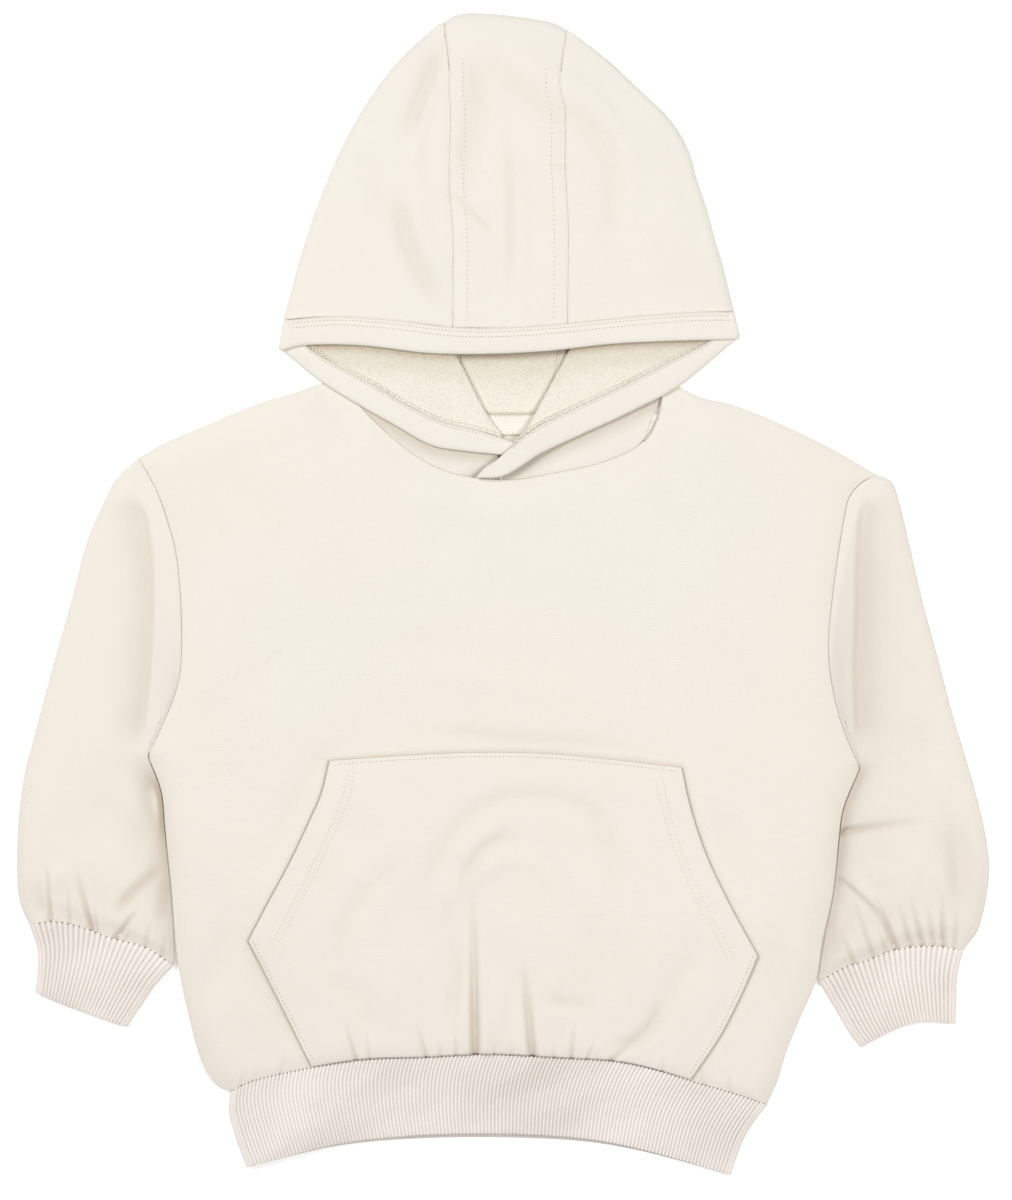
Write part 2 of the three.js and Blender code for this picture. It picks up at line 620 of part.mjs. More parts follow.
// Room that the body needs, a seam's gap wider than its outline, between two heights
function bodyRoom(neckline, low, high) {
  const loop = bodyLoop(neckline);
  const closed = [last(loop), ...loop, loop[0]];
  return plate(moved(closed, -SEAM_GAP).slice(1, -1), low, high);
}

// Where the front comes down, how far, and over what distance
const HEM_EDGE_TOP = 4.9;
const UNDER_HOOD_TOP = 3.4;
const RESTS = [
  { line: smoothLine(SHOULDER_LEFT, 16), height: EDGE_TOP, flat: 0, reach: 15 },
  { line: smoothLine(SHOULDER_RIGHT, 16), height: EDGE_TOP, flat: 0, reach: 15 },
  { line: smoothLine(SIDE_LEFT, 24), height: EDGE_TOP, flat: 0, reach: 14 },
  { line: smoothLine(SIDE_RIGHT, 24), height: EDGE_TOP, flat: 0, reach: 14 },
  { line: smoothLine(ARMHOLE_LEFT, 20), height: 2 * SEAM_ROLL, flat: 0, reach: 14 },
  { line: smoothLine(ARMHOLE_RIGHT, 20), height: 2 * SEAM_ROLL, flat: 0, reach: 14 },
  { line: smoothLine(FRONT_NECK_LEFT, 20), height: UNDER_LAYER_TOP, flat: 1, reach: 22 },
  { line: smoothLine(FRONT_NECK_RIGHT, 20), height: UNDER_LAYER_TOP, flat: 1, reach: 22 },
  { line: smoothLine(HEM_SEAM, 24), height: HEM_EDGE_TOP, flat: 0, reach: 9 },
  { line: smoothLine(outline([-86, 117], [-78, 102]), 2), height: UNDER_HOOD_TOP, flat: 12, reach: 34 },
  { line: smoothLine(outline([88, 116], [86, 104]), 2), height: UNDER_HOOD_TOP, flat: 12, reach: 34 },
];

// Height of the front without its folds
function frontSwell(x, y) {
  let drop = 0;
  for (const rest of RESTS) {
    const away = (toLine(x, y, rest.line) - rest.flat) / (rest.reach - rest.flat);
    const share = 1 - THREE.MathUtils.clamp(away, 0, 1);
    drop = Math.max(drop, (FRONT_TOP - rest.height) * share ** 2);
  }
  return FRONT_TOP - drop;
}

const hemLine = smoothLine(HEM_SEAM, 60);

function gatherHeight(gathers, x, y) {
  const above = toLine(x, y, hemLine);
  let height = 0;
  for (const gather of gathers) {
    const fade = 1 - smooth(above, 0, gather.reach);
    height += gather.depth * fade * Math.exp(-(((x - gather.x) / gather.width) ** 2));
  }
  return height;
}

// Share of their depth that folds have, less where the front lies low
const foldRoom = (swell) => smooth(swell, EDGE_TOP, FRONT_TOP - 0.6);

function frontHeight(x, y) {
  const swell = frontSwell(x, y);
  const room = foldRoom(swell);
  const relief = foldHeight(FRONT_FOLDS, x, y) * room + gatherHeight(HEM_GATHERS, x, y) * room;
  return swell + Math.max(relief, -EXTRA_WALL);
}

function frontUnderside(x, y) {
  const swell = frontSwell(x, y);
  const share = (swell - EDGE_TOP) / (FRONT_TOP - EDGE_TOP);
  return swell - CLOTH - EXTRA_WALL * share;
}

function frontPanel() {
  const outer = raised(bodyGrid(1, frontNeckline), frontHeight);
  const inner = raised(bodyGrid(2, frontNeckline), frontUnderside);
  const marks = (shoulder) => [0, shoulder, shoulder + ACROSS_NECK, 2 * shoulder + ACROSS_NECK];
  return sheetWall(outer, inner, marks(ACROSS_SHOULDER), marks(ACROSS_SHOULDER / 2));
}

// The pocket lies on the front and takes its form from it

const POCKET_LOW_SPANS = 4;
const POCKET_MOUTH_SPANS = 8;

function pocketGrid(across) {
  return patch(
    smoothLine(POCKET_HEM, across),
    smoothLine(POCKET_TOP, across),
    joined(
      smoothLine(POCKET_LOW_LEFT, POCKET_LOW_SPANS),
      smoothLine(POCKET_MOUTH_LEFT, POCKET_MOUTH_SPANS),
    ),
    joined(
      smoothLine(POCKET_LOW_RIGHT, POCKET_LOW_SPANS),
      smoothLine(POCKET_MOUTH_RIGHT, POCKET_MOUTH_SPANS),
    ),
  );
}

const pocketEdge = joined(
  smoothLine(POCKET_LOW_LEFT, POCKET_LOW_SPANS),
  smoothLine(POCKET_MOUTH_LEFT, POCKET_MOUTH_SPANS),
  smoothLine(POCKET_TOP, 8),
  reversed(smoothLine(POCKET_MOUTH_RIGHT, POCKET_MOUTH_SPANS)),
  reversed(smoothLine(POCKET_LOW_RIGHT, POCKET_LOW_SPANS)),
);

function pocketHeight(x, y) {
  const inside = smooth(toLine(x, y, pocketEdge), 0, 12);
  const relief = foldHeight(POCKET_FOLDS, x, y) + gatherHeight(HEM_GATHERS, x, y);
  const bulk = EXTRA_WALL * inside;
  return frontSwell(x, y) + LAY_GAP + CLOTH + bulk + Math.max(relief * inside, -EXTRA_WALL);
}

function pocketPanel() {
  const outer = raised(pocketGrid(32), pocketHeight);
  const inner = raised(pocketGrid(16), (x, y) => frontSwell(x, y) + LAY_GAP);
  return sheetWall(outer, inner);
}

// Sleeves: pressed-flat tubes from the armhole to the gathered cuff seam

const SLEEVE_SEAM_TOP = 2 * SEAM_ROLL;
const CUFF_EDGE_TOP = RIB_TOP - 0.4;

// Height of a sleeve's upper side without its folds
function sleeveSwell(u, v) {
  const puffed = mix(SLEEVE_TOP, SLEEVE_PUFF, smooth(v, 0.62, 0.92));
  const risen = mix(SLEEVE_SEAM_TOP, puffed, smooth(v, 0, 0.14));
  const middle = mix(risen, CUFF_EDGE_TOP, smooth(v, 0.93, 1));
  return mix(SLEEVE_SEAM_TOP, middle, (4 * u * (1 - u)) ** 0.45);
}

const sleeveRoom = (swell) => smooth(swell, SLEEVE_SEAM_TOP, SLEEVE_SEAM_TOP + 1.6);

function sleeve({ armhole, cuffSeam, left, right, gathers, folds }) {
  const plan = planOf(metPatch(armhole, cuffSeam, left, right));
  const length = plan(0.5, 0).distanceTo(plan(0.5, 1));
  const gathered = (u, v) => gathers.reduce((sum, gather) => {
    const fade = 1 - smooth((1 - v) * length, 0, gather.reach);
    return sum + gather.depth * fade * Math.exp(-(((u - gather.along) / gather.width) ** 2));
  }, 0);
  const height = (u, v) => {
    const swell = sleeveSwell(u, v);
    const place = plan(u, v);
    const relief = foldHeight(folds, place.x, place.y) + gathered(u, v);
    return swell + Math.max(relief, -EXTRA_WALL) * sleeveRoom(swell);
  };
  const plain = (u, v) => {
    const swell = sleeveSwell(u, v);
    return swell - EXTRA_WALL * sleeveRoom(swell);
  };
  const tube = tubeWall(
    flatTube({ plan, height, roll: SEAM_ROLL, wall: 0, rows: 13, across: 30, below: 10, turn: 3 }),
    flatTube({ plan, height: plain, roll: SEAM_ROLL, wall: CLOTH, rows: 7, across: 10, below: 10, turn: 2 }),
  );
  return cutAway(tube, bodyRoom(frontNeckline, -1, 2 * SLEEVE_PUFF));
}

const SLEEVE_SPANS = 26;
const SLEEVE_TUCK = 1.5;        // a sleeve is made this much longer, then trimmed along the armhole

function sleeveLeft() {
  return sleeve({
    armhole: moved(smoothLine(ARMHOLE_LEFT, SLEEVE_SPANS), SLEEVE_TUCK),
    cuffSeam: smoothLine(CUFF_SEAM_LEFT, SLEEVE_SPANS),
    left: smoothLine(SLEEVE_OUTER_LEFT, SLEEVE_SPANS),
    right: smoothLine(SLEEVE_INNER_LEFT, SLEEVE_SPANS),
    gathers: CUFF_GATHERS_LEFT,
    folds: SLEEVE_FOLDS_LEFT,
  });
}

function sleeveRight() {
  return sleeve({
    armhole: reversed(moved(smoothLine(ARMHOLE_RIGHT, SLEEVE_SPANS), -SLEEVE_TUCK)),
    cuffSeam: smoothLine(CUFF_SEAM_RIGHT, SLEEVE_SPANS),
    left: smoothLine(SLEEVE_INNER_RIGHT, SLEEVE_SPANS),
    right: smoothLine(SLEEVE_OUTER_RIGHT, SLEEVE_SPANS),
    gathers: CUFF_GATHERS_RIGHT,
    folds: SLEEVE_FOLDS_RIGHT,
  });
}

// Rib tubes: ribs raised on the upper side, plain inside and on the table

function ribTube({ seam, end, left, right, pitch, rows, lift }) {
  const plan = planOf(metPatch(seam, end, left, right));
  const ribs = Math.round(plan(0, 0.5).distanceTo(plan(1, 0.5)) / pitch);
  const crown = (u) => mix(2 * RIB_ROLL, RIB_TOP, (4 * u * (1 - u)) ** 0.4);
  const ribbed = (u, v, i) => crown(u) + (i % 2 === 0 ? RIB_RELIEF : -RIB_RELIEF);
  const outer = flatTube({
    plan, height: ribbed, roll: RIB_ROLL, wall: 0, rows, across: 2 * ribs, below: 14, turn: 4,
  });
  const inner = flatTube({
    plan, height: (u) => crown(u) - RIB_RELIEF, roll: RIB_ROLL, wall: RIB_WALL, rows, across: 20, below: 14, turn: 2,
  });
  [outer, inner].forEach((tube) => liftUpperEdge(tube, lift));
  return tubeWall(outer, inner);
}

// Draws the upper layer's lower edge back, most in the middle, so that the layer under it shows
function liftUpperEdge(tube, lift) {
  const [, , from, to] = tube.marks;
  const ring = last(tube.rings);
  for (let i = from; i <= to; i += 1) {
    ring[i].y += lift * Math.sin((Math.PI * (i - from)) / (to - from));
  }
}

const RIB_SPANS = 30;
const HEM_LIFT = 2.4;

function hemBand() {
  return ribTube({
    seam: moved(smoothLine(HEM_SEAM, RIB_SPANS), -SEAM_GAP),
    end: smoothLine(HEM_END, RIB_SPANS),
    left: smoothLine(HEM_LEFT, 6),
    right: smoothLine(HEM_RIGHT, 6),
    pitch: HEM_RIB_PITCH,
    rows: 2,
    lift: HEM_LIFT,
  });
}

function cuff(seam, end, left, right) {
  return ribTube({
    seam: moved(smoothLine(seam, RIB_SPANS), -SEAM_GAP),
    end: smoothLine(end, RIB_SPANS),
    left: smoothLine(left, 6),
    right: smoothLine(right, 6),
    pitch: CUFF_RIB_PITCH,
    rows: 3,
    lift: 0,
  });
}

// Hood

const hoodOutlines = [smoothLine(HOOD_OUTER_LEFT, 24), smoothLine(HOOD_OUTER_RIGHT, 24), smoothLine(CROWN_LINE, 12)];
const centreSeams = [smoothLine(CENTRE_SEAM_LEFT, 20), smoothLine(CENTRE_SEAM_RIGHT, 20)];
const HOOD_EDGE_TOP = 2 * HOOD_ROLL;
const HOOD_SWELL_REACH = 26;

// Height of the hood's upper layer without its creases
function hoodSwell(x, y) {
  const inside = Math.min(...hoodOutlines.map((line) => toLine(x, y, line)));
  return mix(HOOD_EDGE_TOP, CROWN_TOP, 1 - (1 - Math.min(inside / HOOD_SWELL_REACH, 1)) ** 2);
}

const hoodRoom = (swell) => smooth(swell, HOOD_EDGE_TOP, CROWN_TOP);

function hoodHeight(x, y) {
  const swell = hoodSwell(x, y);
  const seam = Math.min(...centreSeams.map((line) => toLine(x, y, line)));
  const dip = 0.5 * Math.exp(-((seam / 3) ** 2));
  return swell + (Math.max(foldHeight(HOOD_FOLDS, x, y), -0.9) - dip) * hoodRoom(swell);
}

// Underside of that layer, which stays near the layers below it
function hoodUnderside(x, y) {
  const swell = hoodSwell(x, y);
  return Math.min(swell - CLOTH - hoodRoom(swell), CROWN_UNDER);
}

// A fold of cloth seen end on: the share of its reach, from the outline inwards, and its height
function rollSection(turn, reach, roll, thickness) {
  const section = [];
  for (let i = 1; i < turn; i += 1) {
    const angle = Math.PI * (0.5 - i / turn);
    section.push({
      inset: reach - (reach - Math.min(thickness, reach * 0.6)) * Math.cos(angle),
      z: roll + (roll - thickness) * Math.sin(angle),
    });
  }
  return section;
}

// One face of a side panel: its upper layer from the centre seam out, the folded outline,
// and its lower layer back to the nape seam
function hoodSideFace({ upper, lower, rows, thickness, top, bottom }) {
  const across = 8;
  const below = 4;
  const grid = [];
  for (let j = 0; j <= rows; j += 1) {
    const v = j / rows;
    const width = upper(0, v).distanceTo(upper(1, v));
    const reach = Math.min(HOOD_ROLL_OUT, width * 0.4);
    const row = [];
    const put = (place, z) => row.push(new THREE.Vector3(place.x, place.y, z));
    for (let i = 0; i <= across; i += 1) {
      const place = upper((i / across) * (1 - reach / width), v);
      put(place, top(place.x, place.y));
    }
    for (const step of rollSection(4, reach, HOOD_ROLL, thickness)) {
      put(upper(1 - Math.max(step.inset, 0) / width, v), step.z);
    }
    const lowerWidth = lower(0, v).distanceTo(lower(1, v));
    const start = reach / Math.max(lowerWidth, reach * 2);
    for (let i = 0; i <= below; i += 1) {
      put(lower(mix(start, 1, i / below), v), bottom);
    }
    grid.push(row);
  }
  return grid;
}

function hoodSideLayers({ seam, outer, brow, backRim, nape }) {
  const spans = 24;
  const seamLine = smoothLine(seam, spans);
  const outerLine = smoothLine(outer, spans);
  const napeLine = smoothLine(nape, spans);
  const tip = (from, to) => smoothLine([from, to].map(({ x, y }) => ({ x, y })), spans);
  const upper = planOf(metPatch(
    smoothLine(brow, spans),
    tip(last(seamLine), last(outerLine)),
    seamLine,
    outerLine,
  ));
  const lower = planOf(metPatch(
    smoothLine(backRim, spans),
    tip(last(outerLine), last(napeLine)),
    smoothLine(outer, spans),
    napeLine,
  ));
  const rows = 11;
  const outside = { upper, lower, rows, thickness: 0, top: hoodHeight, bottom: 0 };
  const inside = { upper, lower, rows, thickness: CLOTH, top: hoodUnderside, bottom: CLOTH };
  return sheetWall(hoodSideFace(outside), hoodSideFace(inside));
}

// Rise of the right edge over the left one where they cross, by the place across
function lapLift(x) {
  return LAP_LIFT * (1 - smooth(x, 9, 38)) * smooth(x, -14, -5);
}

// One face of the turned-out front: the lapel, its roll and the layer under it
function lapelFace({ seam, roll, neck, lift, thickness }) {
  const across = 3;
  const grid = [];
  for (let j = 0; j < seam.length; j += 1) {
    const outerEnd = smooth(j / (seam.length - 1), 0.7, 1);
    const top = LAPEL_TOP - 0.2 * outerEnd + lift(seam[j].x);
    const low = UNDER_LAYER_TOP - CLOTH - 0.5 * outerEnd;
    const width = seam[j].distanceTo(roll[j]);
    const reach = Math.min(1.6, width * 0.45);
    const middle = (top + low) / 2;
    const half = (top - low) / 2;
    const row = [];
    const put = (from, to, distance, z) => {
      const place = from.clone().lerp(to, distance / from.distanceTo(to));
      row.push(new THREE.Vector3(place.x, place.y, z));
    };
    for (let i = 0; i <= across; i += 1) {
      put(seam[j], roll[j], (width - reach) * (i / across), top - thickness);
    }
    for (const step of rollSection(4, reach, half, thickness)) {
      put(roll[j], seam[j], Math.max(step.inset, 0), step.z - half + middle);
    }
    const under = roll[j].distanceTo(neck[j]);
    for (let i = 0; i <= across; i += 1) {
      put(roll[j], neck[j], mix(reach, under, i / across), low + thickness);
    }
    grid.push(row);
  }
  return grid;
}

function lapel({ seam, roll, neck, lift }) {
  const spans = 12;
  const lines = { seam: smoothLine(seam, spans), roll: smoothLine(roll, spans), neck: neck(spans), lift };
  return sheetWall(lapelFace({ ...lines, thickness: 0 }), lapelFace({ ...lines, thickness: CLOTH }));
}

// Neck seam of one half of the hood, from the middle out, and the hidden turn beyond it
function neckSeam(rows, distance, turn) {
  return (spans) => joined(moved(smoothLine(rows, spans - 3), distance), smoothLine(turn, 3));
}

// Trims the hood's lowest layers along the back neck seam, and the layer over them along the front one
function clearOfBody(geometry) {
  const between = CLOTH + SEAM_GAP / 2;
  return cutAway(
    geometry,
    bodyRoom(smoothLine(BACK_NECK, ACROSS_NECK), -1, between),
    bodyRoom(frontNeckline, between, UNDER_LAYER_TOP + SEAM_GAP),
  );
}

function hoodSideLeft() {
  const layers = hoodSideLayers({
    seam: CENTRE_SEAM_LEFT,
    outer: HOOD_OUTER_LEFT,
    brow: BROW_SEAM_LEFT,
    backRim: BACK_RIM_LEFT,
    nape: NAPE_SEAM_LEFT,
  });
  const front = lapel({
    seam: LAPEL_SEAM_LEFT,
    roll: ROLL_LEFT,
    neck: neckSeam([...FRONT_NECK_LEFT].reverse(), -2 * SEAM_GAP, NECK_TURN_LEFT),
    lift: () => 0,
  });
  return clearOfBody(union(layers, front));
}

function hoodSideRight() {
  const layers = hoodSideLayers({
    seam: CENTRE_SEAM_RIGHT,
    outer: HOOD_OUTER_RIGHT,
    brow: BROW_SEAM_RIGHT,
    backRim: BACK_RIM_RIGHT,
    nape: NAPE_SEAM_RIGHT,
  });
  const front = lapel({
    seam: LAPEL_SEAM_RIGHT,
    roll: ROLL_RIGHT,
    neck: neckSeam(FRONT_NECK_RIGHT, 2 * SEAM_GAP, NECK_TURN_RIGHT),
    lift: lapLift,
  });
  return clearOfBody(union(layers, front));
}

// One face of the centre panel: up over the crown, round its fold and down to the nape
function hoodCentreFace({ upper, lower, thickness, top, bottom }) {
  const across = 6;
  const along = 11;
  const grid = [];
  const length = upper(0.5, 0).distanceTo(upper(0.5, 1));
  const row = (place, z) => {
    const points = [];
    for (let i = 0; i <= across; i += 1) {
      const at = place(i / across);
      points.push(new THREE.Vector3(at.x, at.y, z(at)));
    }
    grid.push(points);
  };
  const start = HOOD_ROLL_OUT / length;
  for (let j = 0; j <= along; j += 1) {
    row((u) => upper(u, (j / along) * (1 - start)), (at) => top(at.x, at.y));
  }
  for (const step of rollSection(4, HOOD_ROLL_OUT, HOOD_ROLL, thickness)) {
    row((u) => upper(u, 1 - Math.max(step.inset, 0) / length), () => step.z);
  }
  for (let j = 0; j <= along; j += 1) {
    row((u) => lower(u, (1 - j / along) * (1 - start)), () => bottom);
  }
  return grid;
}

function hoodCentre() {
  const across = 12;
  const along = 22;
  const inset = (rows, distance) => moved(smoothLine(rows, along), distance);
  const upper = planOf(metPatch(
    smoothLine(BROW_CENTRE, across),
    smoothLine(CROWN_LINE, across),
    smoothLine(CENTRE_SEAM_LEFT, along),
    smoothLine(CENTRE_SEAM_RIGHT, along),
  ));
  const lower = planOf(metPatch(
    smoothLine(NAPE, across),
    smoothLine(CROWN_LINE, across),
    inset(NAPE_SEAM_LEFT, 0),
    inset(NAPE_SEAM_RIGHT, 0),
  ));
  const narrowed = (plan) => (u, v) => {
    const width = plan(0, v).distanceTo(plan(1, v));
    return plan(mix(CENTRE_GAP / width, 1 - CENTRE_GAP / width, u), v);
  };
  const plans = { upper: narrowed(upper), lower: narrowed(lower) };
  const outside = { ...plans, thickness: 0, top: hoodHeight, bottom: 0 };
  const inside = { ...plans, thickness: CLOTH, top: hoodUnderside, bottom: CLOTH };
  return clearOfBody(sheetWall(hoodCentreFace(outside), hoodCentreFace(inside)));
}

// The folded band round the hood's opening: a row of flat sections from seam to free edge

// Section of the band at one place, from its seam edge to its folded free edge
function bandSection(seam, edge, middle, tilt) {
  const width = seam.distanceTo(edge);
  const way = edge.clone().sub(seam).normalize();
  const out = new THREE.Vector3(way.y, -way.x, 0);
  const normal = new THREE.Vector3(0, 0, Math.cos(tilt.angle)).addScaledVector(out, -tilt.side * Math.sin(tilt.angle));
  const centre = new THREE.Vector3(0, 0, middle + BAND_ROLL * (1 - Math.cos(tilt.angle)));
  centre.addScaledVector(out, tilt.side * BAND_ROLL * Math.sin(tilt.angle));
  const corners = [
    [0, 0.7], [0.5, 1], [width - BAND_HALF, 1], [width - 0.3 * BAND_HALF, 0.7], [width, 0],
    [width - 0.3 * BAND_HALF, -0.7], [width - BAND_HALF, -1], [0.5, -1], [0, -0.7],
  ];
  return corners.map(([along, side]) => seam.clone()
    .addScaledVector(way, along)
    .addScaledVector(normal, side * BAND_HALF)
    .add(centre));
}

function hoodBand() {
  const sections = [];
  const add = (seam, edge, middle, tilt = { angle: 0, side: 1 }) => {
    sections.push(bandSection(seam, edge, middle, tilt));
  };
  const lidSpans = 13;
  const browSpans = 20;
  const lidSeam = smoothLine(LID_BAND_SEAM_LEFT, lidSpans);
  const lidEdge = smoothLine(LID_BAND_EDGE_LEFT, lidSpans);
  lidSeam.forEach((point, i) => add(point, lidEdge[i], LID_MIDDLE));
  const turnSteps = 4;
  for (let i = 1; i < turnSteps; i += 1) {
    add(last(lidSeam), last(lidEdge), LID_MIDDLE, { angle: (Math.PI * i) / turnSteps, side: TURN_SIDE });
  }
  const browSeam = smoothLine(BROW_BAND_SEAM, browSpans);
  const browEdge = smoothLine(BROW_BAND_EDGE, browSpans);
  browSeam.forEach((point, i) => {
    const ends = Math.abs(2 * (i / browSpans) - 1) ** 3;
    const middle = mix(BROW_MIDDLE, LID_MIDDLE + 2 * BAND_ROLL, ends);
    add(point, browEdge[i], middle - 2 * BAND_ROLL, { angle: Math.PI, side: TURN_SIDE });
  });
  const rightSeam = reversed(smoothLine(LID_BAND_SEAM_RIGHT, lidSpans + 1));
  const rightEdge = reversed(smoothLine(LID_BAND_EDGE_RIGHT, lidSpans + 1));
  for (let i = turnSteps - 1; i > 0; i -= 1) {
    add(rightSeam[0], rightEdge[0], LID_MIDDLE, { angle: (Math.PI * i) / turnSteps, side: -TURN_SIDE });
  }
  rightSeam.forEach((point, i) => add(point, rightEdge[i], LID_MIDDLE + lapLift(point.x)));
  return capped(sections);
}

// A closed bar through a row of sections, with flat ends
function capped(sections) {
  const wall = new Wall();
  wall.face(sections, false, true);
  const cap = (section, flip) => {
    for (let i = 2; i < section.length; i += 1) {
      const [a, b, c] = [section[0], section[i - 1], section[i]];
      wall.triangle(a, flip ? c : b, flip ? b : c);
    }
  };
  cap(sections[0], true);
  cap(last(sections), false);
  return wall.geometry();
}

// The twill tape covers the back neck seam
function neckTape() {
  const spans = 12;
  const middle = smoothLine(BACK_NECK.slice(2, -2), spans);
  const top = moved(middle, TAPE.half);
  const bottom = moved(middle, -TAPE.half);
  const grid = [bottom, middle, top];
  return sheetWall(raised(grid, () => TAPE.top), raised(grid, () => TAPE.bottom));
}

// The garment

function piece(name, geometry, finish) {
  geometry.computeVertexNormals();
  const material = new THREE.MeshStandardMaterial({ ...finish, metalness: 0, flatShading: true });
  const mesh = new THREE.Mesh(geometry, material);
  mesh.name = name;
  return mesh;
}

const hoodie = new THREE.Group();
hoodie.add(
  piece('back', backPanel(), COLOURS.face),
  piece('front', frontPanel(), COLOURS.face),
  piece('pocket', pocketPanel(), COLOURS.face),
  piece('sleeve_left', sleeveLeft(), COLOURS.face),
  piece('sleeve_right', sleeveRight(), COLOURS.face),
  piece('cuff_left', cuff(CUFF_SEAM_LEFT, CUFF_END_LEFT, CUFF_OUTER_LEFT, CUFF_INNER_LEFT), COLOURS.rib),
  piece('cuff_right', cuff(CUFF_SEAM_RIGHT, CUFF_END_RIGHT, CUFF_INNER_RIGHT, CUFF_OUTER_RIGHT), COLOURS.rib),
  piece('hem_band', hemBand(), COLOURS.rib),
  piece('hood_side_left', hoodSideLeft(), COLOURS.face),
  piece('hood_side_right', hoodSideRight(), COLOURS.face),
  piece('hood_centre', hoodCentre(), COLOURS.face),
  piece('hood_band', hoodBand(), COLOURS.face),
  piece('neck_tape', neckTape(), COLOURS.tape),
);

export default hoodie;
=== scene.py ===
"""Looks of a toddler's French terry hoodie that lies flat on a pale table, seen from above."""
import logging
import math
from dataclasses import dataclass
from enum import Enum
from typing import Callable, Sequence

import bmesh
import bpy
import numpy as np
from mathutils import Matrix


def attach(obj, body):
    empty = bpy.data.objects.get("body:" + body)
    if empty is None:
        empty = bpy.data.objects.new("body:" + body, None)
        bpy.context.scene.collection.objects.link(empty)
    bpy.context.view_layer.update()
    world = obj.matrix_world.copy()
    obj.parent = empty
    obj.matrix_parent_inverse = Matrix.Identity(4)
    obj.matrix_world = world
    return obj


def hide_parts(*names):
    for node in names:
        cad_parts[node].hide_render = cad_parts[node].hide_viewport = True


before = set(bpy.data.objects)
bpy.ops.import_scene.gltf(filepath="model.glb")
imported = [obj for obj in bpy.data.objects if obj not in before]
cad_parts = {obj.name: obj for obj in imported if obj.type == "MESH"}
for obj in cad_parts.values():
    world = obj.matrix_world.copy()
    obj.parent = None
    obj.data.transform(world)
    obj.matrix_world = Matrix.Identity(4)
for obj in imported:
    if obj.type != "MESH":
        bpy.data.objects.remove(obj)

log = logging.getLogger("hoodie")
MM = 0.001
Array = np.ndarray
Rows = Sequence[tuple[float, float]]

# Cloth and layer heights in millimetres
CLOTH = 1.3
EDGE_TOP = 2.9
FRONT_TOP = 6.4
SLEEVE_ROLL = 2.1
SLEEVE_TOP = 6.2
SLEEVE_PUFF = 7.4
RIB_ROLL = 2.4
RIB_TOP = 5.4
UNDER_LAYER_TOP = 3.7
LAPEL_TOP = 5.4
CROWN_TOP = 7.8
HOOD_ROLL = 2.8
HOOD_ROLL_OUT = 3.0
BAND_HALF = 1.2
LID_MIDDLE = 5.3
BROW_MIDDLE = 7.2
BAND_ROLL = 1.35
LAP_LIFT = 2.7
SEAM_ROUND = 0.5
RIB_ROUND = 0.45
SEAM_AIR = -0.02
HOLE_RISE = 0.08
ON_TABLE = 0.02

# Turns at which a rounded edge has its rings, in radians
ROUND_ANGLES = (0.0, 0.6, 1.1, math.pi / 2)

# Outlines of the body in millimetres, from the neck outwards or from the top down
SHOULDER_LEFT: Rows = ((-83.7, 116.1), (-107.6, 107.6), (-131.4, 100.2), (-157.9, 89), (-179.1, 80),
    (-192.9, 72.1))
SHOULDER_RIGHT: Rows = ((85.3, 114.5), (104.4, 104.4), (120.3, 100.7), (142.6, 92.2), (175.4, 76.3),
    (198.2, 63.1))
FRONT_NECK_LEFT: Rows = ((-83.7, 116.1), (-81.1, 108.1), (-75.8, 99.6), (-61.5, 85.3), (-47.7, 74.2),
    (-32.3, 65.7), (-15.4, 61.5), (-4, 60.6))
FRONT_NECK_RIGHT: Rows = ((-4, 60.6), (6.4, 60.4), (24.9, 63.6), (53.5, 70), (71.5, 78.5), (79.5, 88),
    (83.5, 101), (85.3, 114.5))
BACK_NECK: Rows = ((-83.7, 116.1), (-70, 103), (-45, 94), (-15, 90), (4, 89.5), (25, 90.5), (50, 95),
    (72, 104), (85.3, 114.5))
ARMHOLE_LEFT: Rows = ((-192.9, 72.1), (-182.9, 53.5), (-177, 36.6), (-172.8, 19.6), (-170.1, -19.1),
    (-171.7, -46.1), (-181.3, -71.6), (-188.2, -85.9))
ARMHOLE_RIGHT: Rows = ((198.2, 63.1), (190, 59), (183.4, 51.5), (181, 41.9), (176, 11.1), (172.3, -30.7),
    (176, -57.2), (182.3, -76.9), (189.2, -92.2))
SIDE_LEFT: Rows = ((-188.2, -85.9), (-181.3, -103.9), (-179.1, -125.1), (-176, -152.6), (-172.8, -191.3),
    (-169.6, -209.9), (-165.9, -225.8), (-161.7, -241.7), (-156, -255), (-150.4, -261), (-144.2, -263.4))
SIDE_RIGHT: Rows = ((189.2, -92.2), (180.2, -114.5), (178.1, -129.9), (174.4, -160.6), (169.1, -184.4),
    (165.9, -204.6), (156.9, -225.8), (150.5, -241.7), (145.6, -257.6), (139.9, -270.3))
HEM_SEAM: Rows = ((-144.2, -263.4), (-133.6, -258.1), (-101.2, -250.7), (-74.2, -246.5), (-40.8, -245.4),
    (-9, -243.8), (33.9, -245.9), (59.9, -247.5), (82.2, -252.3), (99.1, -257.6), (123, -264.5),
    (139.9, -270.3))
HEM_END: Rows = ((-135.7, -303.5), (-116.6, -298.9), (-89, -292.6), (-61, -289.4), (-14.8, -287.8),
    (41.3, -289.9), (68.9, -294.2), (94.9, -300.5), (120.8, -307.4))
HEM_LEFT: Rows = ((-144.2, -263.4), (-145.2, -273.5), (-141, -289.4), (-135.7, -303.5))
HEM_RIGHT: Rows = ((139.9, -270.3), (132.5, -280.4), (127.2, -289.4), (120.8, -307.4))

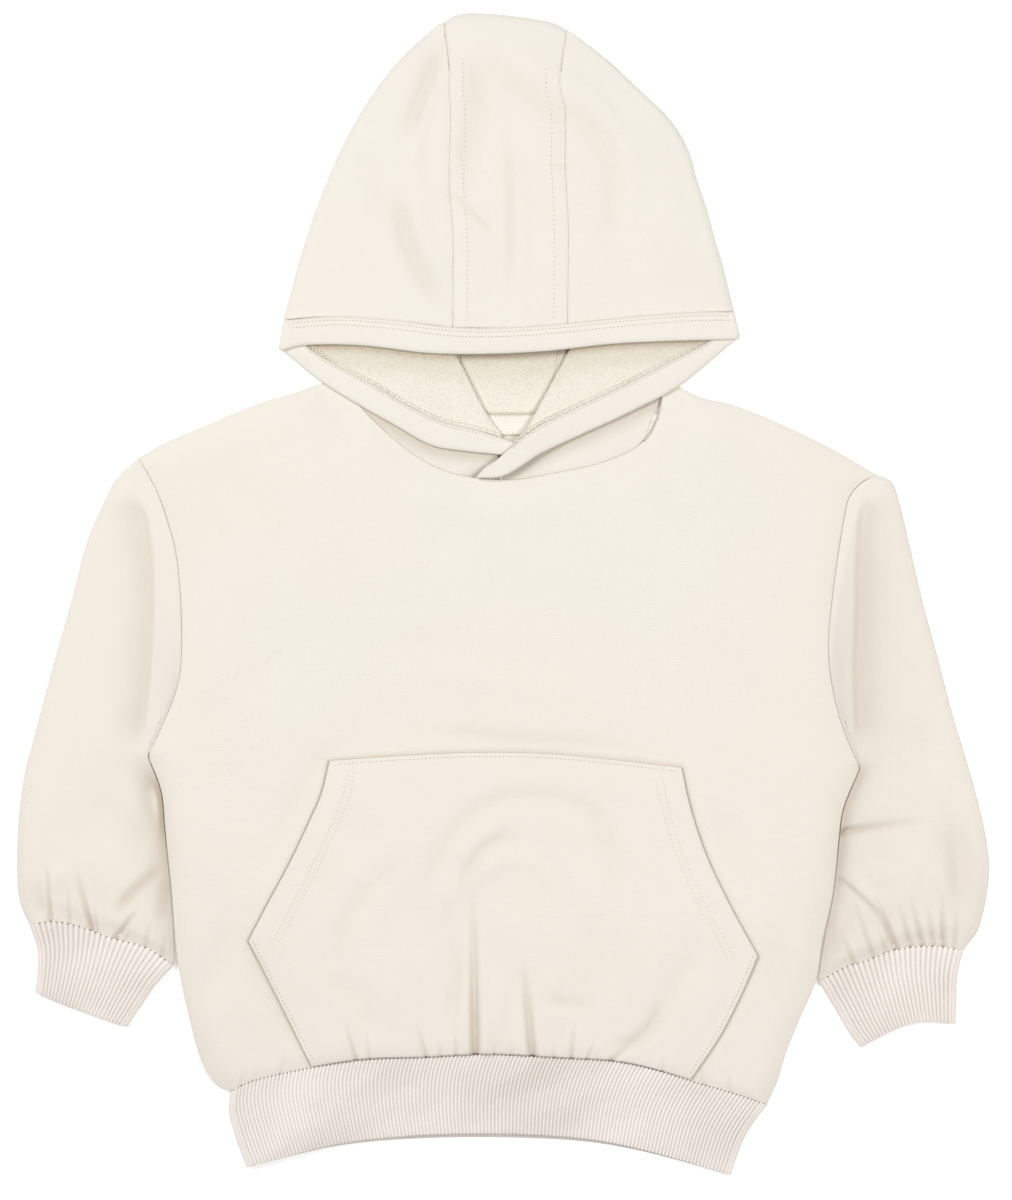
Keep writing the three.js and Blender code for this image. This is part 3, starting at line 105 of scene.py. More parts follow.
# Outlines of the sleeves and cuffs
SLEEVE_OUTER_LEFT: Rows = ((-192.9, 72.1), (-205.1, 60.4), (-213.1, 44.5), (-219.9, 28.6), (-228.4, -3.2),
    (-237.4, -35), (-245.9, -66.8), (-253.9, -98.6), (-257.1, -130.4), (-256, -162.2), (-250.7, -174.9))
SLEEVE_INNER_LEFT: Rows = ((-188.6, -86.4), (-182.2, -104), (-179.9, -125), (-176.9, -152.6),
    (-175.2, -175), (-174.4, -196.8))
SLEEVE_INNER_RIGHT: Rows = ((189.6, -92.4), (181, -114.6), (178.9, -130), (175.2, -160.6), (170.4, -184.6),
    (167.2, -205.2))
SLEEVE_OUTER_RIGHT: Rows = ((198.2, 63.1), (205.6, 59.6), (210.9, 44.5), (214.7, 28.6), (222.1, -3.2),
    (230.6, -35), (239, -66.8), (248.6, -98.6), (255.6, -128), (257.45, -146.3), (255.2, -165),
    (251.4, -178.1), (243.8, -188.7))
CUFF_SEAM_LEFT: Rows = ((-250.7, -174.9), (-238, -173.3), (-222.1, -176.5), (-209.4, -181.3),
    (-187.6, -187.6), (-174.4, -196.8))
CUFF_END_LEFT: Rows = ((-247.5, -210.9), (-235.9, -215.7), (-224.2, -220), (-211.5, -224.7), (-198.8, -229))
CUFF_OUTER_LEFT: Rows = ((-250.7, -174.9), (-246.4, -188.7), (-246.4, -200), (-247.5, -210.9))
CUFF_INNER_LEFT: Rows = ((-174.4, -196.8), (-184.4, -207.8), (-191.9, -218.9), (-198.8, -229))
CUFF_SEAM_RIGHT: Rows = ((167.2, -205.2), (180.2, -197.7), (193.5, -193.5), (204, -189.2), (217.3, -186.6),
    (232, -186.6), (243.8, -188.7))
CUFF_END_RIGHT: Rows = ((189.2, -240.1), (201.9, -233.2), (213.1, -228.4), (224.2, -226.3), (239.6, -227.4))
CUFF_INNER_RIGHT: Rows = ((167.2, -205.2), (176, -220), (183.4, -232.5), (189.2, -240.1))
CUFF_OUTER_RIGHT: Rows = ((243.8, -188.7), (240.6, -202.5), (240.1, -215), (239.6, -227.4))

# Lines on the sleeves where the flat strip beside the armhole ends, from the top down
LEDGE_LEFT: Rows = ((-194, 54), (-187.5, 40), (-184.6, 20), (-184, -10), (-186, -45), (-190, -80))
LEDGE_RIGHT: Rows = ((190, 52), (187, 36), (186, 15), (185.5, -10), (184.5, -38), (186, -84))

# Outlines of the pocket
POCKET_TOP: Rows = ((-91.7, -88), (-51.9, -85.3), (-14.8, -83.7), (22.8, -84.3), (57.8, -87.5),
    (94.3, -91.7))
POCKET_MOUTH_LEFT: Rows = ((-134.6, -183.4), (-124, -163.2), (-112.9, -142.6), (-102.8, -121.4),
    (-95.9, -105.5), (-91.7, -88))
POCKET_MOUTH_RIGHT: Rows = ((134.6, -191.3), (119.3, -163.2), (107.1, -137.3), (98.6, -111.3),
    (94.3, -91.7))
POCKET_LOW_LEFT: Rows = ((-101.2, -249.9), (-116.6, -218.9), (-126.1, -200.3), (-134.6, -183.4))
POCKET_LOW_RIGHT: Rows = ((99.1, -256.8), (115.5, -232.1), (126.7, -209.9), (134.6, -191.3))
POCKET_HEM: Rows = ((-101.2, -249.9), (-74.2, -245.7), (-40.8, -244.6), (-9, -243), (33.9, -245.1),
    (59.9, -246.7), (82.2, -251.5), (99.1, -256.8))

# Outlines of the hood
CENTRE_SEAM_LEFT: Rows = ((-26.5, 140.8), (-26.5, 192.9), (-28.1, 213.6), (-27.6, 255), (-28.6, 268.2),
    (-28.1, 276), (-31.4, 302.5))
CENTRE_SEAM_RIGHT: Rows = ((34.2, 142.9), (34.5, 196.6), (33.1, 225.3), (32.9, 255), (30.2, 267.7),
    (30.4, 276), (33.9, 298.4))
CROWN_LINE: Rows = ((-31.4, 302.5), (-24, 306.6), (-10, 307.4), (3.2, 306.2), (18, 304.2), (26.5, 302.4),
    (33.9, 298.4))
NAPE_SEAM_LEFT: Rows = ((-14, 90.3), (-22, 120), (-26, 180), (-28, 250), (-31.4, 302.5))
NAPE_SEAM_RIGHT: Rows = ((20, 90.7), (28, 120), (32, 180), (33, 250), (33.9, 298.4))
BROW_CENTRE: Rows = ((-26.5, 140.8), (3.7, 140.7), (34.2, 142.9))
NAPE: Rows = ((-14, 90.3), (4, 89.8), (20, 90.7))
HOOD_OUTER_LEFT: Rows = ((-116.4, 145), (-113.4, 155.8), (-109.2, 171.7), (-104.4, 187.6), (-99.1, 203.5),
    (-92.8, 219.4), (-85.9, 235.3), (-77.4, 251.2), (-67.3, 267.1), (-54.6, 283), (-36.6, 299.6))
HOOD_OUTER_RIGHT: Rows = ((122.6, 149.2), (120.8, 155.8), (117.1, 171.7), (112.4, 187.6), (108.1, 203.5),
    (102.8, 219.4), (98.1, 235.3), (88.5, 251.2), (72.1, 267.1), (55.1, 283), (39.2, 295.2))
BROW_SEAM_LEFT: Rows = ((-26.8, 140.8), (-57.2, 144.5), (-88.5, 146.6), (-116.4, 145))
BROW_SEAM_RIGHT: Rows = ((34.5, 142.9), (58, 145.4), (82.7, 147.6), (105, 148.9), (122.6, 149.2))
BACK_RIM_LEFT: Rows = ((-116.4, 145), (-105, 129), (-92, 120.4), (-83.9, 116.6), (-70.2, 103.4),
    (-45.2, 94.4), (-14.3, 90.3))
BACK_RIM_RIGHT: Rows = ((122.6, 149.2), (110, 132), (96, 120), (85.6, 115.1), (72.3, 104.5), (50.3, 95.4),
    (20.3, 90.8))
LAPEL_SEAM_LEFT: Rows = ((-1.4, 82.6), (-15.2, 86.8), (-31.6, 90.6), (-50.1, 99.6), (-69.1, 110.7),
    (-88.7, 121.3), (-104, 131.5), (-113.9, 145.6))
ROLL_LEFT: Rows = ((-0.6, 84.6), (-8, 94.5), (-23.9, 125.1), (-33, 142), (-60, 152), (-90, 154),
    (-113.4, 152.5))
LAPEL_SEAM_RIGHT: Rows = ((4.8, 77.9), (17, 87.5), (38, 98.1), (60.8, 108.7), (85.7, 121.4), (112.1, 136.4),
    (120.2, 149.8))
ROLL_RIGHT: Rows = ((5.8, 79.6), (10.6, 85), (21.5, 104), (33.4, 126.1), (42, 142), (66, 154), (95, 157),
    (119, 156))
NECK_TURN_LEFT: Rows = ((-83.4, 116.5), (-90, 124), (-97, 136))
NECK_TURN_RIGHT: Rows = ((85, 114.9), (95, 124), (104, 138))
BROW_BAND_SEAM: Rows = ((-113.6, 144.2), (-88.5, 146.2), (-57.2, 144.1), (-26.5, 140.4), (3.7, 140.3),
    (34.4, 142.5), (58, 145), (82.7, 147.2), (105, 148.5), (119.8, 148.4))
BROW_BAND_EDGE: Rows = ((-116.4, 128.5), (-107.1, 131), (-77.9, 131.4), (-39.2, 127.2), (-10.6, 126.7),
    (23.3, 128.3), (57.2, 132), (90.6, 133.6), (123.2, 134.4))
LID_BAND_SEAM_LEFT: Rows = ((9.5, 78.6), (3.4, 80.6), (-1.4, 82.2), (-15.2, 86.4), (-31.7, 90.2),
    (-50.3, 99.1), (-69.3, 110.3), (-88.9, 120.9), (-104.2, 131), (-113.6, 144.2))
LID_BAND_EDGE_LEFT: Rows = ((9, 70.6), (2.4, 72.4), (0.5, 73.1), (-19.1, 75.3), (-37.6, 78.4),
    (-56.2, 88.5), (-75.8, 99.6), (-96.5, 112.4), (-116.4, 128.5))
LID_BAND_SEAM_RIGHT: Rows = ((-9.5, 67), (-4.2, 70), (4.8, 77.5), (17.1, 87.1), (38.2, 97.7), (61, 108.3),
    (85.9, 121), (112.4, 136), (119.8, 148.4))
LID_BAND_EDGE_RIGHT: Rows = ((-14.8, 61.2), (-0.5, 62), (20.1, 74.2), (40.3, 83.7), (65.7, 95.4),
    (92.8, 109.7), (123.2, 134.4))


class Fade(Enum):
    """How a fold dies out along its length."""

    BOTH = "at both ends"
    FAR = "towards its far end"


@dataclass(frozen=True)
class Fold:
    """A trough or ridge pressed into cloth from one point to another, in millimetres."""

    x0: float
    y0: float
    x1: float
    y1: float
    width: float
    depth: float
    fade: Fade = Fade.BOTH
    lip: float = 0.0
    # weight of the painted shade in this fold's trough
    dark: float = 1.0

    def height(self, x: Array, y: Array) -> Array:
        """Rise of the cloth at each place.

        Args:
            x: places across.
            y: places along.

        Returns:
            The rise in millimetres, under zero in a trough.
        """
        away, share = beside((self.x0, self.y0), (self.x1, self.y1), x, y)
        profile = near(away, self.width)
        if self.lip:
            profile -= self.lip * near(away - 2.1 * self.width, 1.1 * self.width)
        if self.fade is Fade.BOTH:
            along = step(share, 0, 0.5) * step(1 - share, 0, 0.5)
        else:
            along = (1 - share) ** 0.9
        return self.depth * profile * along


@dataclass(frozen=True)
class Crease:
    """A soft trough or ridge along a bent line, in millimetres."""

    path: Rows
    width: float
    depth: float
    ease: float = 0.35
    # weight of the painted shade in this crease's trough
    dark: float = 1.0

    def height(self, x: Array, y: Array) -> Array:
        """Rise of the cloth at each place, under zero in a trough."""
        line = spline(self.path, 4 * len(self.path))
        nearest, place = np.full(np.shape(x), 1e9), np.zeros(np.shape(x))
        spans = len(line) - 1
        for k, (a, b) in enumerate(zip(line, line[1:])):
            away, share = beside(a, b, x, y)
            closer = away < nearest
            nearest, place = np.where(closer, away, nearest), np.where(closer, (k + share) / spans, place)
        ends = step(place, 0, self.ease) * step(1 - place, 0, self.ease)
        return self.depth * near(nearest, self.width) * ends


def rise_of(folds: Sequence[Fold | Crease], x: Array, y: Array) -> Array:
    """Rise of all of some folds together."""
    return sum(fold.height(x, y) for fold in folds)


def hollow(folds: Sequence[Fold | Crease], x: Array, y: Array) -> Array:
    """How little light reaches into folds, narrow ones the least, from 0 to about 1."""
    return 0.4 * sum(fold.dark * np.clip(-fold.height(x, y), 0, 1.8) * min(1.0, (2.6 / fold.width) ** 2)
                     for fold in folds)


def folds_of(rows: Sequence[Sequence[float]], fade: Fade = Fade.BOTH, lip: float = 0.0) -> list[Fold]:
    """Folds from rows of x0, y0, x1, y1, width and depth."""
    return [Fold(*row, fade=fade, lip=lip) for row in rows]


# Creases as bent lines, and folds as x0, y0, x1, y1, width and depth, in millimetres
FRONT_CREASES = [
    Crease(((-132, -155), (-116, -124), (-100, -96), (-84, -78), (-66, -67)), 6.5, -0.45),
    Crease(((-60, -71), (-12, -75.8), (30, -79), (92, -83)), 4.6, -0.5),
    Crease(((108, -98), (122, -136), (143, -172.8)), 7, -0.5),
    Crease(((-138, -176.5), (-125, -211.5), (-107, -246)), 4.6, -0.7),
    Crease(((-88, -28), (-40, -26), (4, -34), (40, -46)), 8, -0.4),
    Crease(((-70, -46), (-20, -42), (30, -52), (84, -66)), 8, 0.35),
    Crease(((-172, -84), (-150, -60), (-118, -36), (-92, -26)), 9, -0.45),
    Crease(((174, -88), (150, -60), (124, -34), (100, -20)), 9, -0.45),
    Crease(((-166, -226), (-150, -196), (-140, -168)), 8, -0.5),
    Crease(((156, -230), (146, -200), (138, -176)), 8, -0.5),
    Crease(((-152, 72), (-126, 40), (-110, 8)), 11, -0.35),
    Crease(((156, 66), (132, 36), (118, 4)), 11, -0.35),
    Crease(((-60, 56), (-30, 34), (10, 30), (48, 44)), 11, -0.3),
]
MIDDLE_FOLDS = folds_of((
    (-14.8, -246, -15.9, -158, 1.8, -2), (-10, -246, -10, -166, 2.89, 0.6),
    (-21.5, -246, -22, -180, 3.82, 0.5),
    (15.6, -247, 11, -194, 1.7, -1.9), (20.5, -247, 20, -205, 3.06, 0.5),
), Fade.FAR)
POCKET_CREASES = [
    Crease(((-15.9, -162), (-21, -155), (-15.9, -142.6), (-3.2, -130.4), (12.7, -130.4)), 3.6, -0.75),
    Crease(((-44, -172.8), (-37, -147.9), (-22.8, -123.5), (-1.6, -109), (19.6, -107.6), (44.5, -114.5),
            (55, -130), (60.4, -151.6), (60.4, -176.5)), 5, -0.6, 0.25),
    Crease(((-86.4, -204.6), (-81, -172.8), (-65, -151.6), (-45.6, -135.7)), 6, -0.5),
    Crease(((-34, -186), (-30, -160), (-16, -150), (-2, -142), (14, -142), (30, -156)), 5, 0.45),
    Crease(((-26.5, -179.7), (-24.4, -204.6), (-29.7, -232.7)), 3.6, -0.6),
    Crease(((18, -214), (34, -217), (50, -216)), 3.4, -0.4),
    Crease(((86.9, -211.5), (74, -234), (53, -241.7)), 3.6, -0.9),
    Crease(((-96, -200), (-78, -214), (-66, -240)), 6, -0.5),
    Crease(((-4, -196), (-3, -220), (-5, -240)), 5, 0.5),
    Crease(((30, -190), (26, -216), (30, -240)), 6, 0.4),
    Crease(((112, -186), (94, -202), (84, -230)), 7, -0.35),
]
HEM_GATHERS = folds_of((
    (-139, -262, -136, -248, 1.05, -0.8), (-118, -256, -115, -242, 1.05, -0.7),
    (-77.5, -248, -84, -224, 1.12, -1.4),
    (-70.5, -247, -72, -230, 0.98, -0.8), (-40.5, -246, -46, -226, 1.12, -1.3),
    (-33, -246, -34, -236, 0.9, -0.8),
    (-25, -246, -26, -230, 0.98, -0.9), (-4.5, -245, -4.5, -236, 0.9, -0.8), (4, -245, 5, -236, 0.9, -0.6),
    (27, -247, 27, -238, 0.98, -0.8), (36, -247, 38, -226, 1.12, -1.4), (44, -247, 50, -234, 0.98, -0.9),
    (56, -248, 72, -234, 1.35, -1.1), (84, -254, 85, -243, 0.98, -0.7), (106, -260, 104, -248, 0.98, -0.7),
    (120, -264, 118, -250, 1.05, -0.7),
), Fade.FAR, 0.35)
CUFF_GATHERS_LEFT = folds_of((
    (-239.5, -174, -241.5, -142, 1.15, -1.6), (-229.5, -175, -230, -154, 0.86, -1),
    (-217.5, -178, -226, -146, 1.58, -2),
    (-214.5, -180, -216, -164, 0.94, -1.2), (-206, -184, -192, -166, 1.44, -1.9),
    (-201, -186, -196, -174, 0.86, -1),
    (-190, -190, -186, -172, 1.15, -1.1), (-181, -194, -178, -178, 1.15, -0.9),
), Fade.FAR, 0.3)
CUFF_GATHERS_RIGHT = folds_of((
    (186, -196, 178, -178, 1.15, -1.2), (196, -192, 184, -160, 1.15, -1.2),
    (208.5, -189, 198, -162, 1.37, -1.9),
    (216, -188, 209, -162, 1.08, -1.6), (222, -187, 216, -160, 1.22, -1.8),
    (228, -187, 224.5, -164, 1.08, -1.6),
    (233, -187, 232.5, -158, 1.3, -1.8), (239, -188, 240.5, -166, 1.01, -1.3),
    (203, -191, 199, -178, 0.86, -1.1),
), Fade.FAR, 0.3)
SLEEVE_CREASES_LEFT = folds_of((
    (-196, -110, -184, -150, 9, -1.7), (-192, -92, -181, -126, 6, -1.2),
    (-246, -120, -214, -130, 10, -0.6), (-220, -100, -196, -136, 9, -0.7), (-236, 0, -214, -20, 10, -0.4),
    (-198, -163, -206, -178, 5, 1.0), (-238, -140, -232, -160, 6, 0.9),
    (-224, -130, -208, -162, 8, 0.8), (-214, -60, -196, -100, 12, 0.5),
)) + [
    Crease(((-184, -92), (-179, -112), (-177, -134)), 6.5, -0.9, 0.3, 6.0),
    Crease(((-182, -140), (-187, -150), (-198, -160), (-207, -172)), 3.0, -1.1, 0.3, 1.2),
    Crease(((-176, -148), (-179, -160), (-180, -178)), 4, -0.9, 0.35, 2.0),
    Crease(((-250, -150), (-246, -162), (-243, -172)), 4, -0.8),
]
SLEEVE_CREASES_RIGHT = folds_of((
    (180, -117, 214, -112, 6, 0.8), (236, -60, 214, -100, 11, -0.5),
    (238, -118, 247, -172, 7, -1.3), (248, -110, 226, -130, 9, -0.4), (194, -140, 202, -158, 4, 0.9),
    (222, -128, 216, -162, 5, 0.8),
    (177, -150, 183, -188, 6, -1.3), (190, -150, 200, -176, 5, 0.6), (226, -140, 236, -160, 5, 0.6),
)) + [
    Fold(176, -126.5, 224, -119.5, 1.8, -1.8, Fade.FAR, 0.0, 0.85),
    Crease(((173, -147), (188, -160), (201, -173), (206, -187)), 1.3, -1.1, 0.2, 0.55),
    Crease(((176, -144), (192, -158), (205, -171)), 3, 0.7),
    Crease(((236, -112), (243, -140), (246, -160), (243, -178)), 8, -1.2, 0.35, 2.4),
    Crease(((170, -165), (176, -182), (174, -198)), 5, -0.8, 0.35, 2.0),
]
HOOD_CREASES = [
    Crease(((-32.3, 299), (-38, 277), (-46.6, 255), (-52, 236)), 4.6, -1.1, 0.3, 1.5),
    Crease(((-34, 280), (-42, 252), (-46, 229), (-41.9, 209)), 3.6, 0.6),
    Crease(((-58, 218), (-54.6, 202), (-49.3, 182), (-39.2, 162.7), (-28.5, 147)), 4.4, -1.2, 0.3, 1.3),
    Crease(((-46, 214), (-42, 190), (-33, 170), (-30, 158)), 5, 0.7),
    Crease(((-78, 244), (-71, 229), (-62.5, 205.6), (-57.8, 190)), 7, -0.6),
    Crease(((-14.3, 292), (-13, 265), (-18, 235), (-19.6, 208)), 6.5, -1.2, 0.3, 1.6),
    Crease(((-8, 297), (-1, 278), (13.8, 265), (28.6, 255), (43.5, 248.6), (55, 232), (58.3, 208.8),
            (54, 180)), 5, -1.0, 0.2),
    Crease(((3.7, 294), (23.3, 276), (43.5, 265), (66.8, 235), (76, 206)), 7, 0.9, 0.25),
    Crease(((2, 254), (3.7, 215.7), (3.7, 152)), 2.6, -0.4),
    Crease(((6.5, 250), (9, 215.7), (9, 154)), 4, 0.4),
    Crease(((-32.9, 212), (-22.8, 208), (-14.3, 200), (-1, 186)), 2.2, -0.4),
    Crease(((22, 226.5), (31, 226), (41, 224.6)), 1.8, -0.3),
    Crease(((83, 248), (99.6, 215.7), (109.7, 176)), 8, -0.6),
    Crease(((-90, 208), (-98, 180), (-106, 158)), 8, -0.5),
    Crease(((64, 200), (80, 176), (86, 156)), 9, 0.6),
]


# Lines, distances and grids

def spline(rows: Rows, spans: int) -> Array:
    """A smooth line through an outline's rows, cut into equal spans.

    Args:
        rows: corners of the outline.
        spans: number of equal spans.

    Returns:
        spans + 1 points in the plan.
    """
    corner = np.array(rows, float)
    ends = np.vstack([2 * corner[0] - corner[1], corner, 2 * corner[-1] - corner[-2]])
    t = np.linspace(0, 1, 24, endpoint=False)[:, None]
    pieces = []
    for a, b, c, d in zip(ends, ends[1:], ends[2:], ends[3:]):
        before, here, after = (max(np.linalg.norm(q - p), 1e-6) ** 0.5 for p, q in ((a, b), (b, c), (c, d)))
        start = here * ((b - a) / before - (c - a) / (before + here) + (c - b) / here)
        end = here * ((c - b) / here - (d - b) / (here + after) + (d - c) / after)
        second, third = 3 * (c - b) - 2 * start - end, 2 * (b - c) + start + end
        pieces.append(b + start * t + second * t**2 + third * t**3)
    dense = np.vstack(pieces + [corner[-1:]])
    return resampled(dense, spans)


def resampled(line: Array, spans: int) -> Array:
    """A line of any points cut again into equal spans."""
    run = np.concatenate([[0], np.cumsum(np.linalg.norm(np.diff(line, axis=0), axis=1))])
    at = np.linspace(0, run[-1], spans + 1)
    return np.stack([np.interp(at, run, line[:, k]) for k in range(line.shape[1])], axis=1)


def joined(*lines: Array) -> Array:
    """Lines that follow each other as one."""
    return np.vstack([lines[0]] + [line[1:] for line in lines[1:]])


def unit(vectors: Array) -> Array:
    """Vectors of length one in the same directions."""
    return vectors / np.maximum(np.linalg.norm(vectors, axis=-1, keepdims=True), 1e-9)


def sideways(line: Array, distance: float) -> Array:
    """A plan line moved to the left of its own direction."""
    way = unit(np.gradient(line, axis=0))
    return line + distance * np.stack([-way[:, 1], way[:, 0]], axis=1)


def step(value: Array, low: float, high: float) -> Array:
    """Smooth step from 0 at low to 1 at high."""
    t = np.clip((value - low) / (high - low), 0, 1)
    return t * t * (3 - 2 * t)


def beside(a: Sequence[float], b: Sequence[float], x: Array, y: Array) -> tuple[Array, Array]:
    """Distance from each place to the straight line from a to b, and how far along the foot lies, 0 to 1."""
    (ax, ay), (bx, by) = a, b
    dx, dy = bx - ax, by - ay
    share = np.clip(((x - ax) * dx + (y - ay) * dy) / (dx * dx + dy * dy), 0, 1)
    return np.hypot(x - ax - share * dx, y - ay - share * dy), share


def distance_to(line: Array, x: Array, y: Array) -> Array:
    """Distance in the plan from each place to a line."""
    return np.minimum.reduce([beside(a, b, x, y)[0] for a, b in zip(line, line[1:])])


def near(distance: Array, width: float) -> Array:
    """1 on a line, fading to 0 beyond a width."""
    return np.exp(-((distance / width) ** 2))


def distance_to_any(outlines: Sequence[Rows], spans: int, x: Array, y: Array) -> Array:
    """Distance in the plan from each place to the nearest of some outlines, each cut into spans."""
    return np.minimum.reduce([distance_to(spline(rows, spans), x, y) for rows in outlines])


def between(bottom: Array, top: Array, left: Array, right: Array, smoothing: int = 0) -> Array:
    """A grid of plan points between four lines that meet at their ends.

    Args:
        bottom: first row, from left to right.
        top: last row, from left to right.
        left: first column, from the bottom up.
        right: last column, from the bottom up.
        smoothing: how many times inner points move to the middle of their neighbours.

    Returns:
        Rows by columns by 2.
    """
    left, right = left.copy(), right.copy()
    left[0], left[-1], right[0], right[-1] = bottom[0], top[0], bottom[-1], top[-1]
    u = np.linspace(0, 1, len(bottom))[None, :, None]
    v = np.linspace(0, 1, len(left))[:, None, None]
    grid = (1 - v) * bottom[None] + v * top[None] + (1 - u) * left[:, None] + u * right[:, None]
    grid = grid - (1 - u) * (1 - v) * bottom[0] - u * (1 - v) * bottom[-1]
    grid = grid - (1 - u) * v * top[0] - u * v * top[-1]
    for _ in range(smoothing):
        grid[1:-1, 1:-1] = (grid[1:-1, :-2] + grid[1:-1, 2:] + grid[:-2, 1:-1] + grid[2:, 1:-1]) / 4
    return grid


@dataclass(frozen=True)
class Plan:
    """A grid of plan points read at any share across and along."""

    grid: Array

    def at(self, u: Array, v: Array) -> Array:
        """Plan points at shares across and along, both from 0 to 1."""
        rows, columns = self.grid.shape[:2]
        j, i = np.clip(v, 0, 1) * (rows - 1), np.clip(u, 0, 1) * (columns - 1)
        j0, i0 = np.minimum(j.astype(int), rows - 2), np.minimum(i.astype(int), columns - 2)
        a, b = (j - j0)[..., None], (i - i0)[..., None]
        g = self.grid
        low = g[j0, i0] * (1 - b) + g[j0, i0 + 1] * b
        high = g[j0 + 1, i0] * (1 - b) + g[j0 + 1, i0 + 1] * b
        return low * (1 - a) + high * a

    def length(self) -> float:
        """Distance from the middle of the first row to the middle of the last one."""
        middle, ends = np.array([0.5, 0.5]), np.array([0.0, 1.0])
        return float(np.linalg.norm(np.diff(self.at(middle, ends), axis=0)))


def unevenness(x: Array, y: Array, seed: int, size: float = 0.16) -> Array:
    """Soft hollows and swellings of cloth that lies loosely, from a fixed seed."""
    rng = np.random.default_rng(seed)
    total = np.zeros(np.shape(x))
    for _ in range(14):
        length, angle, phase = rng.uniform(22, 95), rng.uniform(0, math.pi), rng.uniform(0, 2 * math.pi)
        wave = 2 * math.pi / length
        total += math.sqrt(length / 60) * np.sin(wave * (x * math.cos(angle) + y * math.sin(angle)) + phase)
    return size * total / 3


def over(formula: Callable[..., Array], places: Array, *options: bool) -> Array:
    """A formula of x and y, worked out at each place of a row or a grid."""
    return formula(places[..., 0], places[..., 1], *options)


def lifted(plan: Array, z: Array) -> Array:
    """Plan points with heights, as points in space."""
    return np.concatenate([plan, np.broadcast_to(z, plan.shape[:-1])[..., None]], axis=-1)


# Meshes

class Cloth:
    """Collects grids of points, in millimetres, into one mesh with a cloth UV map in metres."""

    def __init__(self, name: str) -> None:
        """Starts an empty piece."""
        self.name = name
        self.points: list[Array] = []
        self.faces: list[Array] = []
        self.uvs: list[Array] = []
        self.slots: list[Array] = []
        self.relief: list[Array] = []
        self.shade: list[Array] = []
        self.count = 0

    def grid(self, points: Array, uv: Array, slot: int = 0, flip: bool = False, relief: Array | None = None,
             closed: bool = False, shade: Array | None = None) -> None:
        """Adds a grid of quads.

        Args:
            points: rows by columns by 3.
            uv: rows by columns by 2, in millimetres of cloth.
            slot: material slot.
            flip: turns the faces round.
            relief: a value for each point, such as the phase of a rib.
            closed: joins the last column to the first.
            shade: how much painted shade darkens each point, from 0 to 1.
        """
        rows, columns = points.shape[:2]
        index = self.count + np.arange(rows * columns).reshape(rows, columns)
        if closed:
            index = np.hstack([index, index[:, :1]])
        corners = [index[:-1, :-1], index[:-1, 1:], index[1:, 1:], index[1:, :-1]]
        quads = np.stack(corners, axis=-1).reshape(-1, 4)
        self.points.append(points.reshape(-1, 3))
        self.uvs.append(uv.reshape(-1, 2))
        self.faces.append(quads[:, ::-1] if flip else quads)
        self.slots.append(np.full(len(quads), slot))
        self.relief.append(np.zeros(rows * columns) if relief is None else relief.reshape(-1))
        self.shade.append(np.zeros(rows * columns) if shade is None else np.clip(shade, 0, 1).reshape(-1))
        self.count += rows * columns

    def mesh(self, materials: Sequence[bpy.types.Material]) -> bpy.types.Object:
        """Makes the object, with its doubles merged and its faces smooth.

        Args:
            materials: one for each slot.

        Returns:
            The new object.
        """
        mesh = bpy.data.meshes.new(self.name)
        faces = np.vstack(self.faces)
        mesh.from_pydata((np.vstack(self.points) * MM).tolist(), [], faces.tolist())
        for material in materials:
            mesh.materials.append(material)
        mesh.polygons.foreach_set("material_index", np.concatenate(self.slots).astype(np.int32))
        uv = np.vstack(self.uvs)[faces.reshape(-1)] * MM
        mesh.uv_layers.new(name="cloth").data.foreach_set("uv", uv.reshape(-1).astype(np.float32))
        for title, values in (("relief", self.relief), ("shade", self.shade)):
            mesh.attributes.new(title, "FLOAT", "POINT").data.foreach_set(
                "value", np.concatenate(values).astype(np.float32))
        made = bmesh.new()
        made.from_mesh(mesh)
        bmesh.ops.remove_doubles(made, verts=made.verts, dist=2e-6)
        made.to_mesh(mesh)
        made.free()
        mesh.polygons.foreach_set("use_smooth", np.ones(len(mesh.polygons), bool))
        thing = bpy.data.objects.new(self.name, mesh)
        bpy.context.scene.collection.objects.link(thing)
        return thing


def edge_loop(rows: int, columns: int) -> tuple[Array, Array, Array, Array]:
    """Indices of a grid's boundary points in order, and of the point inside of each.

    Returns:
        Row and column of each boundary point, then of its inner neighbour.
    """
    j = np.concatenate([np.zeros(columns - 1), np.arange(rows - 1), np.full(columns - 1, rows - 1),
                        np.arange(rows - 1, 0, -1)]).astype(int)
    i = np.concatenate([np.arange(columns - 1), np.full(rows - 1, columns - 1), np.arange(columns - 1, 0, -1),
                        np.zeros(rows - 1)]).astype(int)
    return j, i, np.clip(j, 1, rows - 2), np.clip(i, 1, columns - 2)


